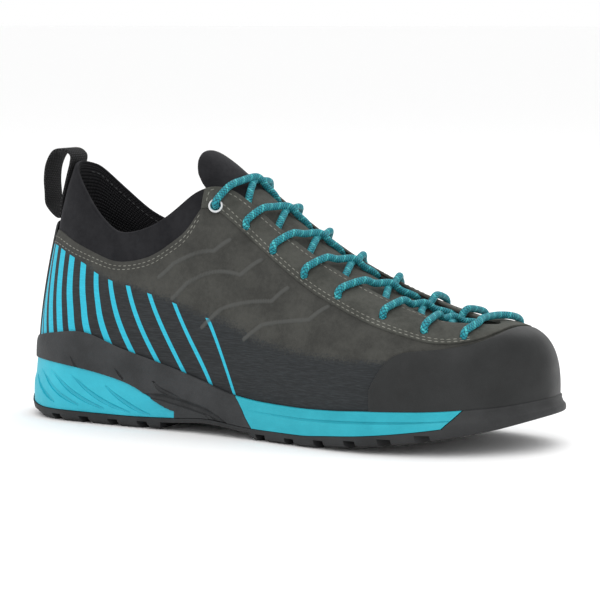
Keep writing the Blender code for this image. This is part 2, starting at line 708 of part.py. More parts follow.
def waist_cutter():
    """Room under the arch, between the heel's tread and the forefoot's."""
    start = TREAD_END + WAIST_MARGIN
    finish = FORETREAD_START - WAIST_MARGIN
    stations = np.linspace(along_x(start), along_x(finish), FOAM_STATIONS)
    profile = [(x, float(level("spring", x)) + LUG_HEIGHT) for x in stations]
    profile.append((stations[-1] + LUG_HEIGHT, -LUG_HEIGHT))
    profile.append((stations[0] - LUG_HEIGHT, -LUG_HEIGHT))
    return prism("waist_cutter", profile, BALL_WIDTH)


def build_sole():
    rubber = material("outsole rubber", (0.030, 0.032, 0.034), 0.65)
    foam = material("turquoise foam", (0.035, 0.42, 0.56), 0.55)
    frame = material("midsole foam", (0.045, 0.049, 0.052), 0.60)
    whole = sole_grid()
    outsole = disc_solid("outsole", whole, rubber)
    room = foam_prism("foam_room", TAIL, TAIL, INSERT_TIP_FOOT, INSERT_TIP_TOP, 0.0)
    boolean(outsole, room, "DIFFERENCE")
    boolean(outsole, waist_cutter(), "DIFFERENCE")
    boolean(outsole, tread_cutter(), "DIFFERENCE", crossing=True)

    front = foam_prism("forefoot_room", JOINT_TOP, JOINT_FOOT, TIP_FOOT_CLEAR, TIP_TOP_CLEAR, GAP)
    forefoot = disc_solid("forefoot_insert", whole, foam)
    boolean(forefoot, front, "INTERSECT")

    rear = foam_prism("rear_room", TAIL, TAIL, JOINT_FOOT_CLEAR, JOINT_TOP_CLEAR, GAP)
    midsole = disc_solid("midsole", whole, frame)
    boolean(midsole, rear, "INTERSECT")
    boolean(midsole, wedge_block("wedge_room", 0.0), "DIFFERENCE")

    wedge = disc_solid("heel_insert", sole_grid(WEDGE_STEP), foam)
    boolean(wedge, rear, "INTERSECT")
    boolean(wedge, wedge_block("wedge_shape", -GAP), "INTERSECT")
    boolean(wedge, groove_cutter(), "DIFFERENCE")


def quarter_step(turn):
    """How far the collar lies below the quarter, which fades out where there is no collar."""
    fade = np.clip((CUFF_FADE - rib_value("cuff", turn)) / CUFF_FADE_WIDTH, 0.0, 1.0)
    return CUFF_STEP * fade


def wall_thickness(turn, share):
    """Thickness of the upper's wall, fuller round the collar."""
    cuff = rib_value("cuff", turn)
    padding = np.clip((share - cuff + PAD_BLEND) / PAD_BLEND, 0.0, 1.0)
    fade = quarter_step(turn) / CUFF_STEP
    return WALL + COLLAR_PAD * padding * fade


def upper_grid(turns):
    """Sections of the upper's wall: up the outside, over the edge and down the inside."""
    cuff = rib_value("cuff", turns)
    step = quarter_step(turns)
    rows = [upper_point(turns, cuff * share, 0.0 * cuff) for share in QUARTER_ROWS]
    for share in COLLAR_ROWS:
        rows.append(upper_point(turns, cuff + (1 - cuff) * share, -step))
    middle = -(step + wall_thickness(turns, 1.0)) / 2
    rows.append(upper_point(turns, 1.0 + EDGE_ROUND, middle))
    for share in INNER_ROWS:
        rows.append(upper_point(turns, share, -wall_thickness(turns, share) - step * (share > cuff)))
    rows[0][..., 2] = seat_height(turns) + GAP
    rows[-1][..., 2] = seat_height(turns) + GAP
    return np.stack(rows, axis=1)


def share_per_length(turn):
    """Share of the rib that a unit of length takes next to the throat's edge."""
    span = skin(turn, 1.0) - skin(turn, 1.0 - EDGE_SPAN)
    return EDGE_SPAN / np.linalg.norm(span, axis=-1)


def eyelet_share(turn):
    """Share of the rib at which an eyelet's middle lies, its inset from the throat's edge."""
    outer_turn = min(float(turn), mirrored(float(turn)))
    inset = np.interp(outer_turn, [eyelet.turn for eyelet in EYELETS], [eyelet.inset for eyelet in EYELETS])
    return 1.0 - float(inset) * float(share_per_length(turn))


def surface_frame(turn, share, offset):
    """Matrix that stands on the upper here, its Z pointing out."""
    low = upper_point(turn, share, offset)
    high = upper_point(turn, share, offset + 0.001)
    out = Vector(high - low).normalized()
    return Matrix.Translation(Vector(low)) @ out.to_track_quat("Z", "Y").to_matrix().to_4x4()


def mirrored(turn):
    return (360.0 - turn) % 360.0


def eyelet_places():
    """Each eyelet as its turn, share and whether it carries a metal ring."""
    places = []
    for i, eyelet in enumerate(EYELETS):
        for side in (eyelet.turn, mirrored(eyelet.turn)):
            places.append((side, eyelet_share(side), i == 0))
    return places


def eyelet_cutter():
    """Rods that punch the eyelets through upper and eyestay."""
    mesh_data = bmesh.new()
    depth = (WALL + STAY_THICKNESS) * 4
    for turn, share, ringed in eyelet_places():
        radius = RING_HOLE if ringed else LACE_HOLE
        made = bmesh.ops.create_cone(
            mesh_data, cap_ends=True, segments=HOLE_SIDES, radius1=radius, radius2=radius, depth=depth
        )
        bmesh.ops.transform(mesh_data, matrix=surface_frame(turn, share, 0.0), verts=made["verts"])
    return helper(add_object("eyelet_cutter", mesh_data, None))


def build_upper(punch):
    suede = material("suede", (0.065, 0.065, 0.058), 0.92)
    upper = ring_solid("upper", upper_grid(COLUMN_TURNS), suede)
    boolean(upper, punch, "DIFFERENCE")


def patch(name, turns, low, high, rows, thickness, finish, lift=0.0):
    """Overlay that lies on the upper between two borders, a gap above it."""
    shares = low[:, None] + (high - low)[:, None] * np.linspace(0.0, 1.0, rows)
    spread = np.broadcast_to(turns[:, None], shares.shape)
    inside = upper_point(spread, shares, np.full(shares.shape, GAP + lift))
    outside = upper_point(spread, shares, np.full(shares.shape, GAP + lift + thickness))
    return strip_solid(name, outside, inside, finish)


def build_overlays(punch):
    suede = material("eyestay suede", (0.085, 0.085, 0.075), 0.92)
    rubber = material("rand rubber", (0.038, 0.041, 0.041), 0.45)
    strip = material("heel strip", (0.030, 0.030, 0.032), 0.80)

    turns = np.arange(STAY_TURNS[0], STAY_TURNS[1] + 1, 360.0 / COLUMNS)
    stay = patch(
        "eyestay", turns, rib_value("stay", turns), np.full(turns.shape, STAY_EDGE), STAY_ROWS, STAY_THICKNESS, suede
    )
    boolean(stay, punch, "DIFFERENCE")

    turns = np.arange(RAND_TURNS[0], RAND_TURNS[1] + 1, 360.0 / COLUMNS)
    low = share_at_height(turns, rim_height(turns) + RIM_CLEARANCE)
    patch("toe_rand", turns, low, rib_value("rand", turns), RAND_ROWS, RAND_THICKNESS, rubber, RAND_LIFT)

    turns = np.arange(-STRIP_HALF_TURN, STRIP_HALF_TURN + 1, 360.0 / COLUMNS)
    low = share_at_height(turns, rim_height(turns) + RIM_CLEARANCE)
    high = np.full(turns.shape, STRIP_TOP)
    patch("heel_strip", turns, low, high, 7, PATCH_THICKNESS, strip)


def build_insole():
    lining = material("footbed", (0.020, 0.020, 0.022), 0.9)
    x, y, _, _ = outline(COLUMN_TURNS, SOLE_MARGIN + WALL + INSOLE_CLEARANCE)
    floor = level("seat", x) + GAP
    rows = [points(x, y, floor), points(x, y, floor + INSOLE_THICKNESS)]
    disc_solid("insole", np.stack(rows, axis=1), lining)


def tongue_station(turn, shift, narrowing):
    """Points across the tongue's top at one pair of ribs, from under one edge of the throat to under the other."""
    lap = TONGUE_LAP * narrowing
    sides = []
    for side in (turn, mirrored(turn)):
        shares = 1.0 - lap * float(share_per_length(side)) * np.array((1.0, 0.5, 0.0))
        depth = wall_thickness(side, 1.0) + quarter_step(side) + TONGUE_CLEARANCE
        sides.append(upper_point(side, shares, -np.full(3, float(depth))))
    outer, inner = sides
    span = float(np.linalg.norm(inner[-1] - outer[-1]))
    lead = lengthened(outer[-1] - outer[-2]) * span * TONGUE_CROWN
    trail = lengthened(inner[-2] - inner[-1]) * span * TONGUE_CROWN
    bridge = []
    for part in (0.2, 0.4, 0.6, 0.8):
        start = (1 + 2 * part) * (1 - part) ** 2 * outer[-1] + part * (1 - part) ** 2 * lead
        finish = part**2 * (3 - 2 * part) * inner[-1] + part**2 * (part - 1) * trail
        bridge.append(start + finish)
    row = np.vstack((outer, bridge, inner[::-1]))
    middle = row.mean(axis=0)
    return middle + (row - middle) * narrowing + shift


def tongue_top():
    """Grid of the tongue's upper side, from its toe end to its free end above the throat."""
    rows = [tongue_station(turn, np.zeros(3), 1.0) for turn in TONGUE_TURNS]
    last = rows[-1].mean(axis=0)
    heading = lengthened(last - rows[-2].mean(axis=0))
    for reach, narrowing, lean in TONGUE_TIP:
        shift = heading * reach * TONGUE_RISE + np.array((lean * TONGUE_RISE, 0.0, 0.0))
        rows.append(tongue_station(TONGUE_TURNS[-1], shift, narrowing))
    return np.array(rows)


def sheet_normals(grid):
    along = np.gradient(grid, axis=0)
    across = np.gradient(grid, axis=1)
    return lengthened(np.cross(across, along))


def build_tongue():
    cloth = material("tongue", (0.022, 0.022, 0.024), 0.85)
    top = tongue_top()
    under = top - sheet_normals(top) * TONGUE_THICKNESS
    strip_solid("tongue", top, under, cloth)
    return top


def tongue_spot(top, turn, across, height):
    """Point above the tongue at a turn of the throat, at a share of the way from its outer to its inner edge."""
    normals = sheet_normals(top)
    stations = np.array(TONGUE_TURNS)
    position = np.interp(-turn, -stations, np.arange(len(stations)))
    column = 2 + across * 5
    row_low = int(min(math.floor(position), len(top) - 2))
    column_low = int(min(math.floor(column), top.shape[1] - 2))
    u = position - row_low
    v = column - column_low

    def blended(grid):
        low = grid[row_low, column_low] * (1 - v) + grid[row_low, column_low + 1] * v
        high = grid[row_low + 1, column_low] * (1 - v) + grid[row_low + 1, column_low + 1] * v
        return low * (1 - u) + high * u

    return blended(top) + lengthened(blended(normals)) * height


def strand(top, upper_turn, lower_turn, outer_high):
    """Route of a lace from under one side of the throat, over the tongue, to the eyelet above on the other side."""
    rest = LACE_DIAMETER / 2 + LACE_CLEARANCE
    over = GAP + STAY_THICKNESS + rest
    flange = RING_SEAT + RING_FLANGE_THICKNESS if upper_turn == EYELETS[0].turn else 0.0
    middle = (upper_turn + lower_turn) / 2
    flip = (lambda share: share) if outer_high else (lambda share: 1 - share)
    ring_side = upper_turn if outer_high else mirrored(upper_turn)
    crossing = upper_turn + (lower_turn - upper_turn) * STRAND_SPREAD
    cross_side = crossing if outer_high else mirrored(crossing)
    emerging = lower_turn - (lower_turn - upper_turn) * STRAND_SPREAD
    return [
        tongue_spot(top, emerging, flip(0.88), rest),
        tongue_spot(top, middle, flip(0.54), rest + CROSSING_RISE),
        tongue_spot(top, middle * 0.5 + crossing * 0.5, flip(0.22), rest + CROSSING_RISE * 3),
        upper_point(cross_side, 1.0, over),
        upper_point(ring_side, eyelet_share(ring_side), over + flange),
    ]


def build_laces(top):
    cord = material("lace", (0.020, 0.270, 0.310), 0.75)
    radius = LACE_DIAMETER / 2
    turns = [eyelet.turn for eyelet in EYELETS]
    for i, (high, low) in enumerate(zip(turns, turns[1:])):
        over = tube(f"lace_cross_{i + 1}", smooth_path(strand(top, high, low, True), PATH_STEPS), radius, cord)
        path = smooth_path(strand(top, high, low, False), PATH_STEPS)
        other = helper(tube(f"lace_strand_{i + 1}", path, radius, None))
        boolean(over, other, "UNION")
    over = GAP + STAY_THICKNESS + radius + TOE_BAR_CLEARANCE
    last = turns[-1]
    between = (last + TOE_BAR_TURN) / 2
    share = eyelet_share(last)
    route = [(last, share), (between, (1 + share) / 2), (TOE_BAR_TURN, 1.0)]
    route += [(mirrored(turn), share) for turn, share in reversed(route)]
    bar = [upper_point(turn, share, over) for turn, share in route]
    tube("lace_toe_bar", smooth_path(bar, PATH_STEPS), radius, cord)


def build_rings():
    metal = material("eyelet metal", (0.60, 0.61, 0.62), 0.3, 1.0)
    seat = GAP + STAY_THICKNESS + RING_SEAT
    bottom = -WALL - GAP
    for name, turn in (("eyelet_outer", EYELETS[0].turn), ("eyelet_inner", mirrored(EYELETS[0].turn))):
        profile = (
            (RING_BORE, bottom),
            (RING_BARREL, bottom),
            (RING_BARREL, seat),
            (RING_FLANGE, seat),
            (RING_FLANGE - RING_FLANGE_THICKNESS / 2, seat + RING_FLANGE_THICKNESS),
            (RING_BORE, seat + RING_FLANGE_THICKNESS),
        )
        mesh_data = bmesh.new()
        corners = [mesh_data.verts.new((radius, 0.0, height)) for radius, height in profile]
        edges = [mesh_data.edges.new((a, b)) for a, b in zip(corners, corners[1:] + corners[:1])]
        bmesh.ops.spin(
            mesh_data,
            geom=corners + edges,
            cent=(0, 0, 0),
            axis=(0, 0, 1),
            angle=math.tau,
            steps=RING_SIDES,
            use_merge=True,
        )
        frame = surface_frame(turn, eyelet_share(turn), 0.0)
        bmesh.ops.transform(mesh_data, matrix=frame, verts=mesh_data.verts)
        add_object(name, mesh_data, metal)


def build_pull_loop():
    web = material("webbing", (0.028, 0.028, 0.030), 0.8)
    half = LOOP_THICKNESS / 2
    edge = skin(0.0, 1.0)
    route = [upper_point(0.0, share, GAP + half - CUFF_STEP) for share in LOOP_FRONT]
    for place in LOOP_BACK:
        x = edge[0] - place.back * COLLAR_HEIGHT
        route.append(np.array((x, 0.0, SEAT_HEIGHT + place.height * COLLAR_HEIGHT)))
    route = np.array(route)
    route[:, 1] = 0.0
    ahead = np.roll(route, -1, axis=0)
    behind = np.roll(route, 1, axis=0)
    heading = lengthened(ahead - behind)
    side = np.cross(heading, (0.0, 1.0, 0.0))
    wide = np.array((0.0, LOOP_WIDTH / 2, 0.0))
    grid = np.stack(
        (route + side * half - wide, route + side * half + wide, route - side * half + wide, route - side * half - wide),
        axis=1,
    )
    ring_solid("pull_loop", grid, web)


def main():
    for obj in list(bpy.data.objects):
        bpy.data.objects.remove(obj)
    punch = eyelet_cutter()
    build_sole()
    build_upper(punch)
    build_insole()
    build_overlays(punch)
    top = build_tongue()
    build_laces(top)
    build_rings()
    build_pull_loop()


main()
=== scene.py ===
"""Looks of an approach shoe for the right foot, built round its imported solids.

The upper's pieces all lie on one form, the last. A turn of 0 to 360 degrees goes once round it, from the heel
along the outer side (-Y) to the toe at 180 and back along the inner side. A share of 0 to 1 goes up a rib at
one turn, from the sole to the collar or the throat.
"""

import json
import logging
import math
from collections.abc import Callable, Iterable, Sequence
from dataclasses import dataclass, field
from enum import Enum
from typing import NamedTuple

import bmesh
import bpy
import numpy as np
from mathutils import Matrix, Vector

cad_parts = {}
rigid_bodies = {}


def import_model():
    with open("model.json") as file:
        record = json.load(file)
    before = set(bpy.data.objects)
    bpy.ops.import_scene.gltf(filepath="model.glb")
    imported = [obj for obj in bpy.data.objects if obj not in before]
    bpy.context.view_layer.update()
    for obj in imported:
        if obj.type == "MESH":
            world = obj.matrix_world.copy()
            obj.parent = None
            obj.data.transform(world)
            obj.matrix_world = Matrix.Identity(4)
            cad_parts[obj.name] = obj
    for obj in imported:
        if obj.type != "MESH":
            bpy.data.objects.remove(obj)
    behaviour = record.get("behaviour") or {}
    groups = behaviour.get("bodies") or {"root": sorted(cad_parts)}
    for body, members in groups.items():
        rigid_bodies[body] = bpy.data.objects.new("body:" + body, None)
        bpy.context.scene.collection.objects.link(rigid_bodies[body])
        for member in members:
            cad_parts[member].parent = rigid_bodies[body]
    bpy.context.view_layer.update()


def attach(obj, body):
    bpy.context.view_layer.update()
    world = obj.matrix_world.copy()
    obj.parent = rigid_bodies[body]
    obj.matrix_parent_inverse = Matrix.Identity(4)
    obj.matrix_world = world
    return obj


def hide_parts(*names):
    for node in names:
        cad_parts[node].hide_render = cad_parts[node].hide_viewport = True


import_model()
BODY = "root"
UP = np.array((0.0, 0.0, 1.0))
WELD = 1e-6
SLIVER = 1e-7
CUT_SLIVER = 1e-5
THROAT_EDGE = 0.992

Colour = tuple[float, float, float]
Place = Callable[[np.ndarray, np.ndarray], np.ndarray]


class Outline(NamedTuple):
    """Sole outline from above: shares of the length from the heel, and of the ball width from the axis."""

    turn: float
    along: float
    across: float


class Rib(NamedTuple):
    """A rib of the upper: its top edge, its curve, and where the cuff, the eyestay and the rand end on it."""

    turn: float
    along: float
    across: float
    height: float
    belly: float
    rise: float
    reach: float
    drop: float
    cuff: float
    stay: float
    rand: float


class Level(NamedTuple):
    """Heights along the sole, as shares of the seat's height."""

    along: float
    spring: float
    seat: float
    rim_outer: float
    rim_inner: float
    split_outer: float
    split_inner: float


class Eyelet(NamedTuple):
    """An eyelet's turn, and how far in from the throat's edge it lies."""

    turn: float
    inset: float


OUTLINE = (
    Outline(0, 0.000, 0.000),
    Outline(18, 0.037, -0.245),
    Outline(36, 0.124, -0.354),
    Outline(54, 0.245, -0.363),
    Outline(72, 0.372, -0.363),
    Outline(90, 0.500, -0.392),
    Outline(108, 0.617, -0.448),
    Outline(126, 0.728, -0.486),
    Outline(144, 0.839, -0.425),
    Outline(162, 0.936, -0.245),
    Outline(180, 1.000, 0.057),
    Outline(198, 0.980, 0.302),
    Outline(216, 0.896, 0.443),
    Outline(234, 0.782, 0.486),
    Outline(252, 0.661, 0.425),
    Outline(270, 0.540, 0.330),
    Outline(288, 0.413, 0.292),
    Outline(306, 0.285, 0.316),
    Outline(324, 0.138, 0.358),
    Outline(342, 0.037, 0.245),
)

RIBS = (
    Rib(0, 0.080, 0.000, 1.010, 0.004, 0.26, 0.095, 0.30, 0.635, 0.97, 0.03),
    Rib(15, 0.096, -0.113, 0.985, 0.010, 0.25, 0.080, 0.28, 0.675, 0.97, 0.03),
    Rib(30, 0.144, -0.198, 0.844, 0.020, 0.24, 0.055, 0.25, 0.72, 0.97, 0.03),
    Rib(40, 0.189, -0.250, 0.736, 0.026, 0.23, 0.035, 0.22, 0.765, 0.97, 0.03),
    Rib(50, 0.235, -0.281, 0.680, 0.026, 0.23, 0.028, 0.20, 0.78, 0.97, 0.03),
    Rib(60, 0.293, -0.281, 0.720, 0.024, 0.25, 0.040, 0.22, 0.78, 0.97, 0.03),
    Rib(70, 0.347, -0.260, 0.825, 0.022, 0.28, 0.070, 0.24, 0.79, 0.90, 0.03),
    Rib(76, 0.377, -0.238, 0.900, 0.020, 0.30, 0.095, 0.24, 0.78, 0.87, 0.03),
    Rib(80, 0.405, -0.195, 0.928, 0.017, 0.33, 0.120, 0.22, 0.97, 0.87, 0.03),
    Rib(85, 0.437, -0.142, 0.900, 0.014, 0.36, 0.150, 0.20, 0.97, 0.81, 0.03),
    Rib(90, 0.473, -0.137, 0.825, 0.012, 0.36, 0.160, 0.15, 0.97, 0.785, 0.03),
    Rib(100, 0.540, -0.142, 0.692, 0.010, 0.32, 0.180, 0.10, 0.97, 0.75, 0.03),
    Rib(110, 0.607, -0.146, 0.577, 0.010, 0.28, 0.190, 0.07, 0.97, 0.705, 0.03),
    Rib(120, 0.674, -0.146, 0.484, 0.012, 0.27, 0.200, 0.05, 0.97, 0.67, 0.03),
    Rib(127, 0.715, -0.142, 0.430, 0.012, 0.27, 0.200, 0.04, 0.97, 0.635, 0.04),
    Rib(135, 0.758, -0.137, 0.384, 0.014, 0.27, 0.200, 0.03, 0.97, 0.6, 0.40),
    Rib(150, 0.832, -0.118, 0.320, 0.018, 0.28, 0.190, 0.01, 0.96, 0.55, 0.50),
    Rib(158, 0.862, -0.096, 0.316, 0.017, 0.29, 0.190, 0.00, 0.95, 0.58, 0.54),
    Rib(168, 0.892, -0.056, 0.312, 0.015, 0.29, 0.190, 0.00, 0.95, 0.74, 0.70),
    Rib(180, 0.903, 0.009, 0.308, 0.012, 0.30, 0.190, 0.00, 0.95, 0.86, 0.82),
    Rib(192, 0.894, 0.070, 0.312, 0.015, 0.29, 0.190, 0.00, 0.95, 0.74, 0.70),
    Rib(202, 0.866, 0.111, 0.316, 0.017, 0.29, 0.190, 0.00, 0.95, 0.58, 0.54),
    Rib(210, 0.839, 0.132, 0.320, 0.018, 0.28, 0.190, 0.01, 0.96, 0.55, 0.50),
    Rib(225, 0.765, 0.151, 0.380, 0.014, 0.27, 0.200, 0.03, 0.97, 0.6, 0.40),
    Rib(233, 0.722, 0.156, 0.425, 0.012, 0.27, 0.200, 0.04, 0.97, 0.635, 0.04),
    Rib(240, 0.681, 0.156, 0.475, 0.012, 0.27, 0.200, 0.05, 0.97, 0.67, 0.03),
    Rib(250, 0.614, 0.156, 0.565, 0.010, 0.28, 0.190, 0.07, 0.97, 0.705, 0.03),
    Rib(260, 0.547, 0.151, 0.680, 0.010, 0.32, 0.180, 0.10, 0.97, 0.75, 0.03),
    Rib(270, 0.479, 0.146, 0.810, 0.012, 0.36, 0.160, 0.15, 0.97, 0.785, 0.03),
    Rib(275, 0.437, 0.151, 0.895, 0.014, 0.36, 0.150, 0.20, 0.97, 0.81, 0.03),
    Rib(280, 0.405, 0.200, 0.928, 0.017, 0.33, 0.120, 0.22, 0.97, 0.87, 0.03),
    Rib(284, 0.377, 0.243, 0.900, 0.020, 0.30, 0.095, 0.24, 0.78, 0.87, 0.03),
    Rib(290, 0.347, 0.258, 0.825, 0.022, 0.28, 0.070, 0.24, 0.79, 0.90, 0.03),
    Rib(300, 0.293, 0.274, 0.725, 0.024, 0.25, 0.040, 0.22, 0.78, 0.97, 0.03),
    Rib(310, 0.235, 0.269, 0.695, 0.026, 0.23, 0.028, 0.20, 0.78, 0.97, 0.03),
    Rib(320, 0.189, 0.245, 0.740, 0.026, 0.23, 0.035, 0.22, 0.765, 0.97, 0.03),
    Rib(330, 0.144, 0.198, 0.850, 0.020, 0.24, 0.055, 0.25, 0.72, 0.97, 0.03),
    Rib(345, 0.096, 0.113, 0.985, 0.010, 0.25, 0.080, 0.28, 0.675, 0.97, 0.03),
)

LEVELS = (
    Level(-0.06, 0.560, 1.00, 1.52, 1.55, 1.18, 1.18),
    Level(0.00, 0.260, 1.00, 1.52, 1.55, 1.17, 1.15),
    Level(0.03, 0.070, 1.00, 1.54, 1.55, 1.16, 1.14),
    Level(0.08, 0.000, 0.99, 1.66, 1.56, 1.14, 1.13),
    Level(0.15, 0.000, 0.97, 1.76, 1.58, 1.05, 1.14),
    Level(0.25, 0.000, 0.93, 1.49, 1.72, 0.81, 1.16),
    Level(0.35, 0.035, 0.88, 1.21, 1.76, 0.38, 0.92),
    Level(0.42, 0.085, 0.80, 0.98, 1.30, 0.34, 0.44),
    Level(0.46, 0.055, 0.73, 0.84, 1.00, 0.34, 0.34),
    Level(0.50, 0.015, 0.66, 0.76, 0.82, 0.34, 0.34),
    Level(0.54, 0.000, 0.63, 0.72, 0.74, 0.34, 0.34),
    Level(0.62, 0.000, 0.62, 0.70, 0.71, 0.34, 0.34),
    Level(0.68, 0.050, 0.64, 0.72, 0.72, 0.34, 0.34),
    Level(0.74, 0.105, 0.67, 0.76, 0.76, 0.34, 0.34),
    Level(0.84, 0.240, 0.71, 0.80, 0.80, 0.34, 0.34),
    Level(0.94, 0.445, 0.79, 0.88, 0.88, 0.34, 0.34),
    Level(1.00, 0.640, 0.87, 0.98, 0.98, 0.34, 0.34),
    Level(1.06, 0.840, 0.95, 1.06, 1.06, 0.34, 0.34),
)

EYELETS = (
    Eyelet(81.5, 0.0115),
    Eyelet(90.0, 0.0132),
    Eyelet(98.5, 0.0138),
    Eyelet(108.0, 0.0145),
    Eyelet(118.0, 0.0155),
    Eyelet(131.0, 0.0165),
    Eyelet(143.5, 0.0178),
    Eyelet(155.0, 0.0190),
)


def through_rows(keys: Sequence[float], values: Sequence[float], at: np.ndarray) -> np.ndarray:
    """Cubic curve through the rows of a table that never swings past them.

    Args:
        keys: places of the rows, rising.
        values: value at each row.
        at: places to read.

    Returns:
        The value at each place.
    """
    keys, values, at = (np.asarray(item, float) for item in (keys, values, at))
    steps = np.diff(keys)
    rises = np.diff(values) / steps
    slopes = np.zeros_like(values)
    before, after = rises[:-1], rises[1:]
    same = before * after > 0
    slopes[1:-1][same] = 2 * before[same] * after[same] / (before[same] + after[same])
    spot = np.clip(np.searchsorted(keys, at, side="right") - 1, 0, len(steps) - 1)
    part = np.clip((at - keys[spot]) / steps[spot], 0.0, 1.0)
    start = (1 + 2 * part) * (1 - part) ** 2 * values[spot]
    finish = part**2 * (3 - 2 * part) * values[spot + 1]
    lead = part * (1 - part) ** 2 * slopes[spot] * steps[spot]
    trail = part**2 * (part - 1) * slopes[spot + 1] * steps[spot]
    return start + finish + lead + trail


def points(x: np.ndarray, y: np.ndarray, z: np.ndarray) -> np.ndarray:
    """Stack three coordinates into an array of points."""
    return np.stack(np.broadcast_arrays(x, y, z), axis=-1)


def unit(vectors: np.ndarray) -> np.ndarray:
    """The same directions with a length of one."""
    return vectors / np.linalg.norm(vectors, axis=-1, keepdims=True)


def smooth_step(low: float, high: float, value: np.ndarray) -> np.ndarray:
    """Rise softly from 0 at low to 1 at high."""
    part = np.clip((np.asarray(value, float) - low) / (high - low), 0.0, 1.0)
    return part * part * (3 - 2 * part)


def mirrored(turn: float | np.ndarray) -> float | np.ndarray:
    """The same place on the other side of the foot."""
    return (360.0 - turn) % 360.0


class Crease(NamedTuple):
    """A soft trough across the upper, between two spots of turn and share."""

    turn: float
    share: float
    to_turn: float
    to_share: float
    deep: float
    wide: float


CREASES = (
    Crease(104.0, 0.30, 122.0, 0.62, 0.0007, 0.0060),
    Crease(116.0, 0.22, 133.0, 0.50, 0.0006, 0.0055),
    Crease(238.0, 0.55, 256.0, 0.28, 0.0008, 0.0060),
    Crease(226.0, 0.45, 243.0, 0.20, 0.0006, 0.0055),
    Crease(28.0, 0.30, 48.0, 0.52, 0.0006, 0.0080),
    Crease(312.0, 0.50, 332.0, 0.28, 0.0007, 0.0080),
    Crease(58.0, 0.88, 70.0, 0.90, 0.0006, 0.0050),
    Crease(292.0, 0.90, 304.0, 0.86, 0.0006, 0.0050),
    Crease(14.0, 0.80, 34.0, 0.84, 0.0005, 0.0050),
    Crease(326.0, 0.84, 346.0, 0.80, 0.0005, 0.0050),
)


